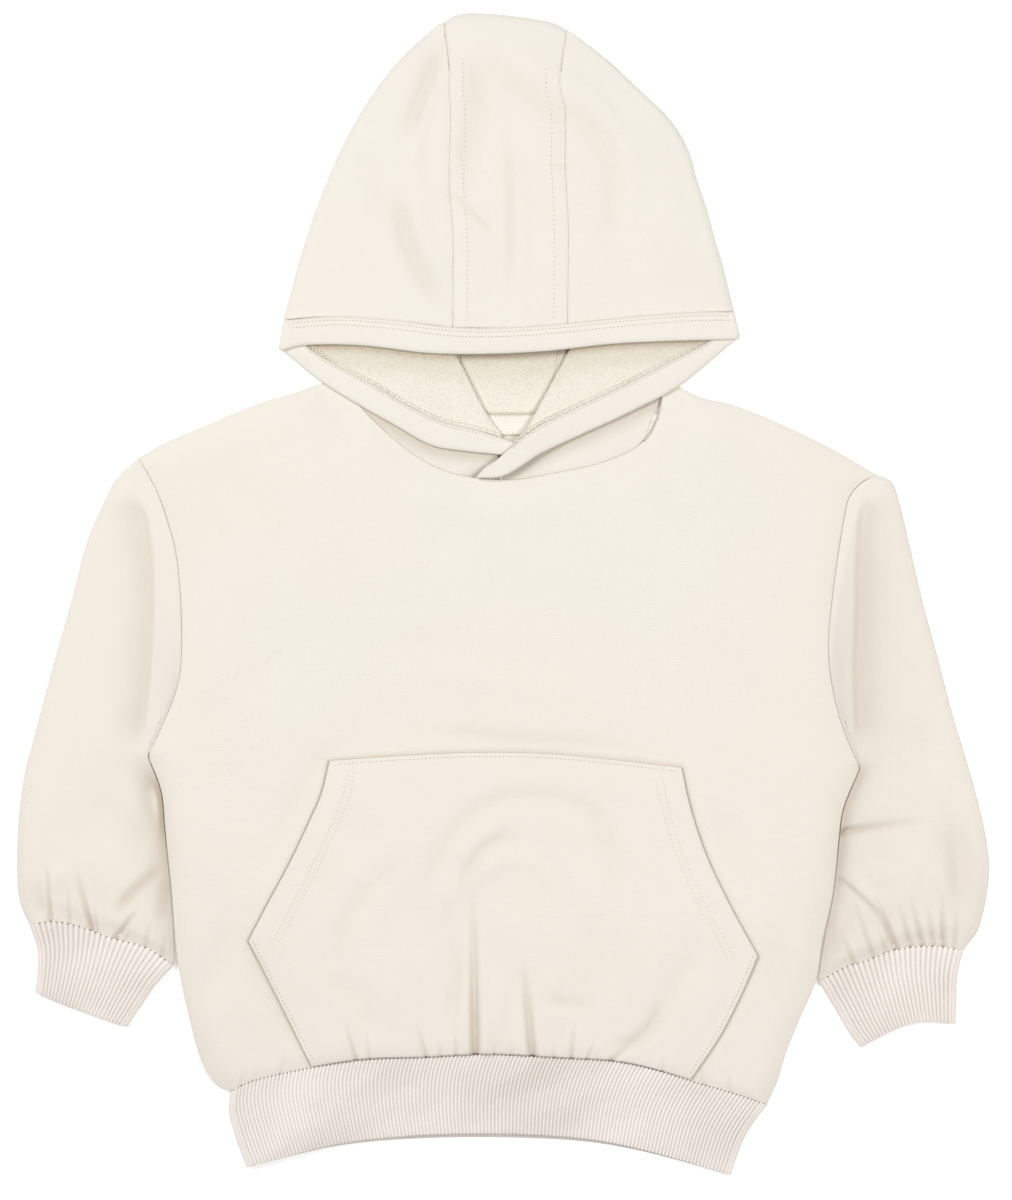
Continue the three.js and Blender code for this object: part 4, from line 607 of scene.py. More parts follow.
def wall(cloth: Cloth, top: Array, uv: Array, side: int = 1, thickness: float = CLOTH,
         radius: float = SEAM_ROUND, slots: tuple[int, int] = (0, 0), inset: float = SEAM_AIR,
         shade: Array | None = None, lined: bool = True, rim_shade: float = 0.0,
         inner_shade: Array | None = None) -> None:
    """Adds a wall of cloth whose edges are rounded all round.

    Args:
        cloth: collects the mesh.
        top: grid of the outer face.
        uv: cloth coordinates of the grid.
        side: 1 where rows and columns turn the outer face up, -1 where they turn it down.
        thickness: of the wall.
        radius: of the rounded edge.
        slots: materials of the outer and the inner face.
        inset: how far the edge stays inside its outline.
        shade: how much painted shade darkens each point of the outer face, from 0 to 1.
        lined: True where the wall also has its inner face.
        rim_shade: least painted shade of the rounded edge, which draws a dark line along it.
        inner_shade: painted shade of the inner face where it isn't that of the outer one.
    """
    shade = np.zeros(top.shape[:2]) if shade is None else shade
    top = top.copy()
    normal = unit(side * np.cross(np.gradient(top, axis=1), np.gradient(top, axis=0)))
    j, i, inner_j, inner_i = edge_loop(*top.shape[:2])
    out = top[j, i] - top[inner_j, inner_i]
    up = normal[j, i]
    out = unit(out - up * np.sum(out * up, axis=1, keepdims=True))
    top[j, i] -= out * (radius + inset)
    edge = top[j, i]
    rings = [edge]
    for angle in ROUND_ANGLES[1:]:
        rings.append(edge + out * radius * math.sin(angle) - up * radius * (1 - math.cos(angle)))
    for angle in (math.pi / 2, 1.0, 0.0):
        depth = thickness - radius * (1 - math.cos(angle))
        rings.append(edge + out * radius * math.sin(angle) - up * depth)
    rim = np.stack(rings)
    rim_uv = np.broadcast_to(uv[j, i], (len(rings),) + uv[j, i].shape)
    flip = side < 0
    cloth.grid(top, uv, slots[0], flip, shade=shade)
    inner_shade = shade if inner_shade is None else inner_shade
    deep = np.repeat(np.maximum(shade, inner_shade)[j, i][None], len(rings), 0)
    deep[2:] = np.maximum(deep[2:], rim_shade)
    cloth.grid(rim, rim_uv, slots[0], not flip, closed=True, shade=deep)
    if lined:
        cloth.grid(top - normal * thickness, uv, slots[1], not flip, shade=inner_shade)


def flat_tube(plan: Plan, rows: int, across: int, below: int, turn: int, roll: float,
              upper: Callable[[Array, Array, Array, Array], Array]) -> tuple[Array, Array, Array]:
    """Rings of a tube that is pressed flat on the table.

    Args:
        plan: outline of the tube.
        rows: spans along.
        across: spans of the upper side.
        below: spans of the underside.
        turn: spans of each folded edge.
        roll: radius of a folded edge.
        upper: height of the upper side from x, y, share across and share along.

    Returns:
        Points, cloth coordinates, and a mask that is 1 on the upper side.
    """
    v = np.linspace(0, 1, rows + 1)[:, None]
    ends = [plan.at(np.full(rows + 1, side), v[:, 0]) for side in (0.0, 1.0)]
    edge = roll / np.linalg.norm(ends[1] - ends[0], axis=1)[:, None]
    angle = np.linspace(-math.pi / 2, math.pi / 2, turn + 1)[None, :]
    low = np.linspace(0, 1, below, endpoint=False)[None, :]
    high = np.linspace(1, 0, across + 1)[None, 1:-1]
    share = [edge + (1 - 2 * edge) * low, 1 - edge + edge * np.cos(angle), edge + (1 - 2 * edge) * high,
             edge - edge * np.cos(angle)[:, ::-1][:, :-1]]
    u = np.hstack([np.broadcast_to(part, (rows + 1, part.shape[1])) for part in share])
    along = np.broadcast_to(v, u.shape)
    place = plan.at(u, along)
    rolled = np.broadcast_to(roll + roll * np.sin(angle), (rows + 1, turn + 1))
    first, second = below, below + turn + 1
    third = second + across - 1
    z = np.zeros(u.shape)
    z[:, first:second] = rolled
    z[:, third:] = rolled[:, ::-1][:, :-1]
    s = np.broadcast_to(high, (rows + 1, across - 1))
    on_top = place[:, second:third]
    z[:, second:third] = upper(on_top[..., 0], on_top[..., 1], s, along[:, second:third])
    mask = np.zeros(u.shape)
    mask[:, second:third] = 1
    points = lifted(place, z)
    ring = np.linalg.norm(np.diff(points, axis=1, append=points[:, :1]), axis=2)
    around = np.concatenate([np.zeros((rows + 1, 1)), np.cumsum(ring, axis=1)[:, :-1]], axis=1)
    return points, np.stack([around, along * plan.length()], axis=-1), mask


def tube(cloth: Cloth, points: Array, uv: Array, radius: float, relief: Array | None = None,
         shade: Array | None = None) -> None:
    """Adds a pressed tube whose two ends are rounded and turned in.

    Args:
        cloth: collects the mesh.
        points: rings of the tube.
        uv: cloth coordinates.
        radius: of the rounded ends.
        relief: value of each point.
        shade: how much painted shade darkens each point, from 0 to 1.
    """
    def stretched(values: Array | None) -> Array | None:
        """Values of the rings, with those of the turned-in ends."""
        if values is None:
            return None
        return np.concatenate([np.repeat(values[:1], len(first), 0), values[2:-2],
                               np.repeat(values[-1:], len(last), 0)])

    def end(ring: Array, inner: Array) -> list[Array]:
        """Rings that round one end off and go back inside."""
        out = sum(np.roll(ring - inner, k, axis=0) for k in range(-5, 6))
        out = unit(out * (1, 1, 0))
        high = ring[:, 2].max()
        inward = np.zeros_like(ring)
        inward[:, 2] = np.clip((high / 2 - ring[:, 2]) / (high / 2) * 1.6, -1, 1)
        base = ring - out * (radius + SEAM_AIR)
        turned = [base + out * radius * math.sin(angle) + inward * radius * (1 - math.cos(angle))
                  for angle in ROUND_ANGLES]
        hidden = [base + out * radius * 0.6 + inward * radius * 1.6, base - out * 3 + inward * radius * 1.8]
        return turned + hidden

    first, last = end(points[0], points[2]), end(points[-1], points[-3])
    whole = np.concatenate([np.stack(first[::-1]), points[2:-2], np.stack(last)])
    cloth.grid(whole, stretched(uv), relief=stretched(relief), closed=True, shade=stretched(shade))


def flat_size(points: Array, closed: bool = False) -> tuple[float, float, float]:
    """Width, length and area of a grid when it is laid out flat, in metres and square metres.

    Args:
        points: rows by columns by 3, in millimetres.
        closed: True on a tube.

    Returns:
        The longest row, the longest column and the area.
    """
    if closed:
        points = np.concatenate([points, points[:, :1]], axis=1)
    width = np.linalg.norm(np.diff(points, axis=1), axis=2).sum(axis=1).max() * MM
    length = np.linalg.norm(np.diff(points, axis=0), axis=2).sum(axis=0).max() * MM
    a, b = points[1:, 1:] - points[:-1, :-1], points[1:, :-1] - points[:-1, 1:]
    area = 0.5 * np.linalg.norm(np.cross(a, b), axis=2).sum() * MM * MM
    return float(width), float(length), float(min(area, width * length))


# Node trees

class Nodes:
    """A node tree that is built in steps."""

    def __init__(self, tree: bpy.types.NodeTree) -> None:
        """Works on a node tree."""
        self.tree = tree

    def node(self, kind: str, links: dict[str | int, object] | None = None,
             **settings: object) -> bpy.types.Node:
        """Adds a node.

        Args:
            kind: type name of the node.
            links: input name or index to a socket or a constant.
            settings: properties of the node.

        Returns:
            The node.
        """
        made = self.tree.nodes.new(kind)
        for key, value in settings.items():
            setattr(made, key, value)
        for key, value in (links or {}).items():
            if isinstance(value, bpy.types.NodeSocket):
                self.tree.links.new(value, made.inputs[key])
            else:
                made.inputs[key].default_value = value
        return made

    def math(self, operation: str, a: object, b: object = 0.0, c: object = 0.0) -> bpy.types.NodeSocket:
        """A math node's result."""
        return self.node("ShaderNodeMath", {0: a, 1: b, 2: c}, operation=operation).outputs[0]

    def vector(self, operation: str, links: dict[str | int, object]) -> bpy.types.NodeSocket:
        """A vector math node's result."""
        return self.node("ShaderNodeVectorMath", links, operation=operation).outputs[0]


class Tree(Nodes):
    """A geometry node tree with a geometry input and output."""

    def __init__(self, name: str, inputs: Sequence[tuple[str, str, float | None]]) -> None:
        """Starts a tree with a geometry input and more named inputs.

        Args:
            name: of the tree.
            inputs: name, socket type and default value of each.
        """
        super().__init__(bpy.data.node_groups.new(name, "GeometryNodeTree"))
        face = self.tree.interface
        face.new_socket("Geometry", in_out="INPUT", socket_type="NodeSocketGeometry")
        for title, kind, value in inputs:
            socket = face.new_socket(title, in_out="INPUT", socket_type=kind)
            if value is not None:
                socket.default_value = value
        face.new_socket("Geometry", in_out="OUTPUT", socket_type="NodeSocketGeometry")
        self.entry = self.tree.nodes.new("NodeGroupInput")
        self.exit = self.tree.nodes.new("NodeGroupOutput")

    def close(self, geometry: bpy.types.NodeSocket) -> bpy.types.NodeTree:
        """Ends the tree in Realize Instances and Set Material."""
        real = self.node("GeometryNodeRealizeInstances", {"Geometry": geometry})
        smooth = self.node("GeometryNodeSetShadeSmooth", {"Geometry": real.outputs[0]})
        dressed = self.node("GeometryNodeSetMaterial", {
            "Geometry": smooth.outputs[0], "Material": self.entry.outputs["Material"]})
        self.tree.links.new(dressed.outputs[0], self.exit.inputs["Geometry"])
        return self.tree


def stitch_tree() -> bpy.types.NodeTree:
    """Tree that lays thread stitches along the edges of a mesh, with a dark disc between two stitches:
    painted shade of the needle hole.
    """
    make = Tree("Stitch Row", (("Pitch", "NodeSocketFloat", 0.003), ("Length", "NodeSocketFloat", 0.0022),
                               ("Thread", "NodeSocketFloat", 0.0003), ("Slant", "NodeSocketFloat", 0.0),
                               ("Hole", "NodeSocketFloat", 0.0003), ("Material", "NodeSocketMaterial", None),
                               ("Hole Material", "NodeSocketMaterial", None)))
    want = make.entry.outputs
    curve = make.node("GeometryNodeMeshToCurve", {0: want["Geometry"]})
    spaced = make.node("GeometryNodeResampleCurve", {"Curve": curve.outputs[0], "Length": want["Pitch"]},
                       mode="LENGTH").outputs[0]
    half = make.math("MULTIPLY", want["Length"], 0.5)
    size = make.node("ShaderNodeCombineXYZ", {0: half, 1: want["Thread"], 2: want["Thread"]})
    odd = make.math("MODULO", make.node("GeometryNodeInputIndex").outputs[0], 2.0)
    slant = make.math("MULTIPLY", make.math("MULTIPLY_ADD", odd, 2.0, -1.0), want["Slant"])
    tangent = make.node("GeometryNodeInputTangent").outputs[0]
    along = make.node("FunctionNodeAlignRotationToVector", {"Vector": tangent}, axis="X")
    turn = make.node("FunctionNodeAxisAngleToRotation", {"Axis": (0, 0, 1), "Angle": slant})
    turned = make.node("FunctionNodeRotateRotation", {0: along.outputs[0], 1: turn.outputs[0]},
                       rotation_space="LOCAL")
    bead = make.node("GeometryNodeMeshUVSphere", {"Segments": 8, "Rings": 5, "Radius": 1.0})
    laid = make.node("GeometryNodeInstanceOnPoints", {
        "Points": spaced, "Instance": bead.outputs[0], "Rotation": turned.outputs[0],
        "Scale": size.outputs[0]})
    ahead = make.vector("SCALE", {0: tangent, 3: make.math("MULTIPLY", want["Pitch"], 0.5)})
    raised = make.vector("ADD", {0: ahead, 1: (0, 0, HOLE_RISE * MM)})
    between_two = make.node("GeometryNodeSetPosition", {"Geometry": spaced, "Offset": raised})
    # Dark disc between two stitches: painted shade where the thread sinks into the cloth
    dot = make.node("GeometryNodeMeshCircle", {"Vertices": 7, "Radius": 1.0}, fill_type="NGON")
    marked = make.node("GeometryNodeStoreNamedAttribute", {
        "Geometry": dot.outputs[0], "Name": "hole", "Value": 1.0}, data_type="FLOAT", domain="POINT")
    wide = make.node("ShaderNodeCombineXYZ", {0: want["Hole"], 1: want["Hole"], 2: 1.0})
    pricked = make.node("GeometryNodeInstanceOnPoints", {
        "Points": between_two.outputs[0], "Instance": marked.outputs[0], "Scale": wide.outputs[0]})
    both = make.node("GeometryNodeJoinGeometry")
    for part in (laid, pricked):
        make.tree.links.new(part.outputs[0], both.inputs[0])
    real = make.node("GeometryNodeRealizeInstances", {"Geometry": both.outputs[0]})
    threaded = make.node("GeometryNodeSetMaterial", {
        "Geometry": real.outputs[0], "Material": want["Material"]})
    hole = make.node("GeometryNodeInputNamedAttribute", {"Name": "hole"}, data_type="FLOAT")
    dressed = make.node("GeometryNodeSetMaterial", {
        "Geometry": threaded.outputs[0], "Selection": make.math("GREATER_THAN", hole.outputs[0], 0.5),
        "Material": want["Hole Material"]})
    make.tree.links.new(dressed.outputs[0], make.exit.inputs["Geometry"])
    return make.tree


def rib_tree() -> bpy.types.NodeTree:
    """Tree that raises ribs along a cloth from the phase kept in its relief attribute."""
    make = Tree("Raised Ribs", (
        ("Depth", "NodeSocketFloat", 0.0005), ("Material", "NodeSocketMaterial", None)))
    phase = make.node("GeometryNodeInputNamedAttribute", {"Name": "relief"}, data_type="FLOAT").outputs[0]
    wave = make.math("ABSOLUTE", make.math("SINE", make.math("MULTIPLY", phase, math.pi)))
    centred = make.math("SUBTRACT", make.math("POWER", wave, 0.62), 0.7)
    masked = make.math("MULTIPLY", centred, make.math("GREATER_THAN", phase, 0.001))
    tall = make.math("MULTIPLY", masked, make.entry.outputs["Depth"])
    rise = make.vector("SCALE", {0: make.node("GeometryNodeInputNormal").outputs[0], 3: tall})
    moved = make.node("GeometryNodeSetPosition", {"Geometry": make.entry.outputs["Geometry"], "Offset": rise})
    return make.close(moved.outputs[0])


def grown(thing: bpy.types.Object, tree: bpy.types.NodeTree, values: dict[str, object]) -> bpy.types.Object:
    """Runs a geometry node tree on an object and keeps the result as its plain mesh.

    Args:
        thing: the object.
        tree: the tree.
        values: input name to value.

    Returns:
        The same object.
    """
    modifier = thing.modifiers.new("grow", "NODES")
    modifier.node_group = tree
    for item in tree.interface.items_tree:
        if item.in_out == "INPUT" and item.name in values:
            modifier[item.identifier] = values[item.name]
    seen = thing.evaluated_get(bpy.context.evaluated_depsgraph_get())
    mesh = bpy.data.meshes.new_from_object(seen)
    thing.modifiers.clear()
    thing.data = mesh
    mesh.name = thing.name
    return thing


# Finishes

# Warm dark colour that the shade attribute multiplies in: painted shade in folds, under the bands and the
# tape, and along edges
PAINTED_SHADE_TINT = (0.63, 0.555, 0.47, 1)
CREAM_BLUSH = (1.0, 0.958, 0.95, 1)
RIB_BLUSH = (1.0, 0.98, 0.975, 1)
LOOPS_A_METRE = 1080.0
TWILL_BAR = 0.0028


def group_of(name: str, inputs: Sequence[tuple[str, str, float]], outputs: Sequence[str]) -> tuple[
        bpy.types.NodeTree, Nodes, bpy.types.Node, bpy.types.Node]:
    """Starts a shader node group.

    Args:
        name: of the group.
        inputs: name, socket type and default of each input.
        outputs: names of its number outputs.

    Returns:
        The group, its builder, its input node and its output node.
    """
    group = bpy.data.node_groups.new(name, "ShaderNodeTree")
    group.interface.new_socket("Vector", in_out="INPUT", socket_type="NodeSocketVector")
    for title, kind, value in inputs:
        group.interface.new_socket(title, in_out="INPUT", socket_type=kind).default_value = value
    for title in outputs:
        group.interface.new_socket(title, in_out="OUTPUT", socket_type="NodeSocketFloat")
    return group, Nodes(group), group.nodes.new("NodeGroupInput"), group.nodes.new("NodeGroupOutput")


def knit_group() -> bpy.types.NodeTree:
    """Group that draws the small V stitches of a jersey knit from cloth coordinates in metres."""
    group, shade, entry, leave = group_of(
        "Jersey Stitches", (("Wale", "NodeSocketFloat", 0.0009), ("Course", "NodeSocketFloat", 0.0008)),
        ("Height",))
    cloth = entry.outputs["Vector"]
    wobble = shade.node("ShaderNodeTexNoise", {"Vector": cloth, "Scale": 240.0, "Detail": 2.0})
    bent = shade.vector("MULTIPLY", {0: wobble.outputs["Color"], 1: (0.0004, 0.0004, 0.0)})
    axis = shade.node("ShaderNodeSeparateXYZ", {0: shade.vector("ADD", {0: cloth, 1: bent})})
    across = shade.math("FRACT", shade.math("DIVIDE", axis.outputs[0], entry.outputs["Wale"]))
    off = shade.math("ABSOLUTE", shade.math("SUBTRACT", across, 0.5))
    along = shade.math("DIVIDE", axis.outputs[1], entry.outputs["Course"])
    leg = shade.math("SINE", shade.math("MULTIPLY", shade.math("ADD", along, off), 2 * math.pi))
    rib = shade.math("SINE", shade.math("MULTIPLY", off, 2 * math.pi))
    both = shade.math("ADD", shade.math("MULTIPLY", leg, 0.3), shade.math("MULTIPLY", rib, 0.5))
    group.links.new(shade.math("ADD", both, 0.5), leave.inputs["Height"])
    return group


def haze_group() -> bpy.types.NodeTree:
    """Group that gives the soft cloudiness of cotton and its finer fibre mottle."""
    group, shade, entry, leave = group_of(
        "Cotton Haze", (("Fibre", "NodeSocketFloat", 1400.0),), ("Cloud", "Mottle"))
    cloth = entry.outputs["Vector"]
    cloud = shade.node("ShaderNodeTexNoise", {"Vector": cloth, "Scale": 16.0, "Detail": 3.0})
    fibre = shade.node("ShaderNodeTexNoise", {
        "Vector": cloth, "Scale": entry.outputs["Fibre"], "Detail": 3.0, "Roughness": 0.7})
    group.links.new(cloud.outputs[0], leave.inputs["Cloud"])
    group.links.new(fibre.outputs[0], leave.inputs["Mottle"])
    return group


def blush_group() -> bpy.types.NodeTree:
    """Group that says how pink the cream is, which grows towards the sleeves and the hem."""
    group, shade, entry, leave = group_of("Cream Blush", (("Patch", "NodeSocketFloat", 7.0),), ("Blush",))
    cloth = entry.outputs["Vector"]
    cloud = shade.node("ShaderNodeTexNoise", {
        "Vector": cloth, "Scale": entry.outputs["Patch"], "Detail": 2.0})
    axis = shade.node("ShaderNodeSeparateXYZ", {0: cloth})
    outward = shade.node("ShaderNodeMapRange", {
        "Value": shade.math("ABSOLUTE", axis.outputs[0]), "From Min": 0.11, "From Max": 0.21},
        interpolation_type="SMOOTHSTEP")
    down = shade.node("ShaderNodeMapRange", {"Value": axis.outputs[1], "From Min": -0.02, "From Max": -0.2})
    patch = shade.node("ShaderNodeMapRange", {"Value": cloud.outputs[0], "From Min": 0.35, "From Max": 0.65})
    sides = shade.math("MULTIPLY", outward.outputs[0], 0.45)
    low = shade.math("MULTIPLY", down.outputs[0], 0.3)
    both = shade.math("ADD", shade.math("ADD", sides, low), shade.math("MULTIPLY", patch.outputs[0], 0.35))
    group.links.new(both, leave.inputs["Blush"])
    return group


class Weave(Enum):
    """Kinds of cloth surface."""

    JERSEY = "smooth face of French terry"
    TERRY = "its looped inside"
    RIB = "rib knit"
    TWILL = "herringbone tape"
    THREAD = "sewing thread"


@dataclass(frozen=True)
class Finish:
    """Colour and surface of one kind of cloth."""

    name: str
    weave: Weave
    light: tuple[float, float, float]
    dark: tuple[float, float, float]
    bump: float
    sheen: float = 0.15

    def material(self, knit: bpy.types.NodeTree, haze: bpy.types.NodeTree,
                 tint: bpy.types.NodeTree) -> bpy.types.Material:
        """Builds the material.

        Args:
            knit: group of jersey stitches.
            haze: group of cotton haze.
            tint: group of the blush.

        Returns:
            The material.
        """
        made = bpy.data.materials.new(self.name)
        made.use_nodes = True
        shade = Nodes(made.node_tree)
        shader = made.node_tree.nodes["Principled BSDF"]
        for setting, value in (("Roughness", 0.92), ("Specular IOR Level", 0.12),
                               ("Sheen Weight", self.sheen), ("Sheen Roughness", 0.6)):
            shader.inputs[setting].default_value = value
        uv = shade.node("ShaderNodeUVMap", uv_map="cloth").outputs[0]
        if self.weave is Weave.THREAD:
            uv = shade.node("ShaderNodeTexCoord").outputs["Object"]
        cotton = shade.node("ShaderNodeGroup", node_tree=haze)
        shade.tree.links.new(uv, cotton.inputs["Vector"])
        pattern = self.pattern(shade, uv, knit)
        tone = shade.math("ADD", shade.math("MULTIPLY", cotton.outputs["Cloud"], 0.45),
                          shade.math("MULTIPLY", cotton.outputs["Mottle"], 0.35))
        tone = shade.math("ADD", tone, shade.math("MULTIPLY", pattern, self.pattern_share()))
        ramp = shade.node("ShaderNodeMapRange", {"Value": tone, "From Min": 0.2, "From Max": 0.95})
        plain = shade.node("ShaderNodeMix", {0: ramp.outputs[0], 6: (*self.dark, 1), 7: (*self.light, 1)},
                           data_type="RGBA")
        blush = shade.node("ShaderNodeGroup", node_tree=tint)
        shade.tree.links.new(shade.node("ShaderNodeTexCoord").outputs["Object"], blush.inputs["Vector"])
        pink = RIB_BLUSH if self.weave is Weave.RIB else CREAM_BLUSH
        tinted = shade.node("ShaderNodeMix", {0: blush.outputs["Blush"], 6: plain.outputs[2], 7: pink},
                            data_type="RGBA", blend_type="MULTIPLY")
        # Painted shade: the shade attribute darkens and warms the colour in folds, under the bands and the
        # tape, and along edges
        depth = shade.node("ShaderNodeAttribute", attribute_name="shade").outputs["Fac"]
        colour = shade.node("ShaderNodeMix", {0: depth, 6: tinted.outputs[2], 7: PAINTED_SHADE_TINT},
                            data_type="RGBA", blend_type="MULTIPLY")
        height = shade.math("ADD", pattern, shade.math("MULTIPLY", cotton.outputs["Mottle"], 0.5))
        bump = shade.node("ShaderNodeBump", {"Height": height, "Strength": 0.6, "Distance": self.bump})
        made.node_tree.links.new(colour.outputs[2], shader.inputs["Base Color"])
        made.node_tree.links.new(bump.outputs[0], shader.inputs["Normal"])
        return made

    def pattern_share(self) -> float:
        """How much of the pattern shows as colour: its low places come out darker, painted shade between
        stitches and loops and in the rib's grooves.
        """
        return {Weave.JERSEY: 0.2, Weave.TERRY: 0.7, Weave.THREAD: 0.4}.get(self.weave, 0.5)

    def pattern(self, shade: Nodes, uv: bpy.types.NodeSocket,
                knit: bpy.types.NodeTree) -> bpy.types.NodeSocket:
        """Height of the weave over the surface.

        Args:
            shade: the material's nodes.
            uv: cloth coordinates in metres.
            knit: group of jersey stitches.

        Returns:
            A number from about 0 to 1.
        """
        if self.weave is Weave.TERRY:
            stretched = shade.node("ShaderNodeMapping", {"Vector": uv, "Scale": (1.0, 0.72, 1.0)}).outputs[0]
            loops = shade.node("ShaderNodeTexVoronoi", {
                "Vector": stretched, "Scale": LOOPS_A_METRE, "Randomness": 0.8})
            return shade.math("SUBTRACT", 1.0, loops.outputs["Distance"])
        if self.weave is Weave.TWILL:
            axis = shade.node("ShaderNodeSeparateXYZ", {0: uv})
            bars = shade.math("PINGPONG", shade.math("DIVIDE", axis.outputs[0], TWILL_BAR), 1.0)
            slope = shade.math("ADD", bars, shade.math("DIVIDE", axis.outputs[1], TWILL_BAR / 2))
            return shade.math("PINGPONG", shade.math("MULTIPLY", slope, 2.2), 1.0)
        if self.weave is Weave.THREAD:
            return shade.node("ShaderNodeTexNoise", {"Vector": uv, "Scale": 2600.0}).outputs[0]
        stitches = shade.node("ShaderNodeGroup", node_tree=knit)
        shade.tree.links.new(uv, stitches.inputs["Vector"])
        if self.weave is Weave.JERSEY:
            return stitches.outputs["Height"]
        # Rib crests come out light and grooves dark: painted shade in the grooves
        phase = shade.node("ShaderNodeAttribute", attribute_name="relief").outputs["Fac"]
        wave = shade.math("ABSOLUTE", shade.math("SINE", shade.math("MULTIPLY", phase, math.pi)))
        crest = shade.math("POWER", wave, 0.6)
        plain = shade.math("LESS_THAN", phase, 0.001)
        ridge = shade.math("MAXIMUM", crest, plain)
        return shade.math("ADD", shade.math("MULTIPLY", stitches.outputs["Height"], 0.3),
                          shade.math("MULTIPLY", ridge, 0.7))


FACE = Finish("face of french terry", Weave.JERSEY, (0.855, 0.824, 0.753), (0.812, 0.774, 0.697), 0.00016)
TERRY = Finish("loops of french terry", Weave.TERRY, (0.89, 0.865, 0.765), (0.72, 0.67, 0.565), 0.0007)
# The rib's dark colour is painted shade in the grooves between its ribs
RIB = Finish("rib knit", Weave.RIB, (0.94, 0.888, 0.838), (0.31, 0.26, 0.21), 0.0002)
TWILL = Finish("herringbone twill", Weave.TWILL, (0.93, 0.915, 0.84), (0.76, 0.73, 0.63), 0.0003)
THREAD = Finish("sewing thread", Weave.THREAD, (0.89, 0.86, 0.79), (0.78, 0.73, 0.64), 0.00005)
# Dark discs of painted shade at the needle holes, where the thread sinks into the cloth
NEEDLE_HOLE_SHADE = Finish("needle hole", Weave.THREAD, (0.40, 0.33, 0.255), (0.29, 0.23, 0.17), 0.00005)


@dataclass
class Workshop:
    """Everything that the pieces share: finishes and node trees."""

    face: bpy.types.Material
    terry: bpy.types.Material
    rib: bpy.types.Material
    twill: bpy.types.Material
    thread: bpy.types.Material
    # finish of the dark discs of painted shade at the needle holes
    hole: bpy.types.Material
    stitches: bpy.types.NodeTree
    ribs: bpy.types.NodeTree

    @classmethod
    def fitted_out(cls) -> "Workshop":
        """Builds all finishes and trees."""
        knit, haze, tint = knit_group(), haze_group(), blush_group()
        made = [finish.material(knit, haze, tint) for finish in (FACE, TERRY, RIB, TWILL, THREAD, NEEDLE_HOLE_SHADE)]
        return cls(*made, stitch_tree(), rib_tree())


def placed(thing: bpy.types.Object, nodes: Sequence[str] = ()) -> bpy.types.Object:
    """Puts a piece on the garment in the frame.

    Args:
        thing: the piece.
        nodes: solids that it stands for.

    Returns:
        The same piece.
    """
    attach(thing, "root")
    if nodes:
        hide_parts(*nodes)
    log.info("%s: %d faces", thing.name, len(thing.data.polygons))
    return thing


@dataclass(frozen=True)
class Sewing:
    """One kind of stitch: lengths in millimetres, the slant in radians, one way and then the other."""

    pitch: float
    length: float
    thread: float
    slant: float = 0.0
    # hole: size of the dark disc of painted shade between two stitches
    hole: float = 0.27


POCKET_SEWING = Sewing(2.15, 1.5, 0.23)
MOUTH_SEWING = Sewing(2.15, 1.5, 0.23, hole=0.19)
HOOD_SEWING = Sewing(2.4, 1.6, 0.2)
BROW_SEWING = Sewing(1.95, 1.35, 0.24)
BEAD_SEWING = Sewing(1.9, 1.5, 0.42, hole=0.18)
LOOP_SEWING = Sewing(1.9, 2.7, 0.2, 0.9, hole=0.1)
TAPE_SEWING = Sewing(2.6, 1.8, 0.2)
TACK_SEWING = Sewing(0.34, 1.3, 0.2, math.pi / 2, hole=0.05)


def sewn(shop: Workshop, name: str, rows: Sequence[Array], sewing: Sewing) -> bpy.types.Object:
    """Lays rows of stitches along lines in space.

    Args:
        shop: finishes and trees.
        name: of the piece.
        rows: lines of points in millimetres.
        sewing: kind of stitch.

    Returns:
        The stitches as one object.
    """
    points, edges, count = [], [], 0
    for row in rows:
        points += (row * MM).tolist()
        edges += [(count + k, count + k + 1) for k in range(len(row) - 1)]
        count += len(row)
    mesh = bpy.data.meshes.new(name)
    mesh.from_pydata(points, edges, [])
    thing = bpy.data.objects.new(name, mesh)
    bpy.context.scene.collection.objects.link(thing)
    grown(thing, shop.stitches, {
        "Pitch": sewing.pitch * MM, "Length": sewing.length * MM, "Thread": sewing.thread * MM,
        "Slant": sewing.slant, "Hole": sewing.hole * MM, "Material": shop.thread, "Hole Material": shop.hole})
    return placed(thing)


def laid(thing: bpy.types.Object, size: tuple[float, float, float], rests_on: Sequence[str] = ()) -> None:
    """Takes a piece, its flat size and what it rests on, and does nothing with them."""


# Body

POCKET_FREE_EDGES = (POCKET_LOW_LEFT, POCKET_MOUTH_LEFT, POCKET_TOP, POCKET_MOUTH_RIGHT, POCKET_LOW_RIGHT)


@dataclass(frozen=True)
class Rest:
    """A line along which the front comes down to another layer."""

    rows: Rows
    height: float
    reach: float
    flat: float = 0.0


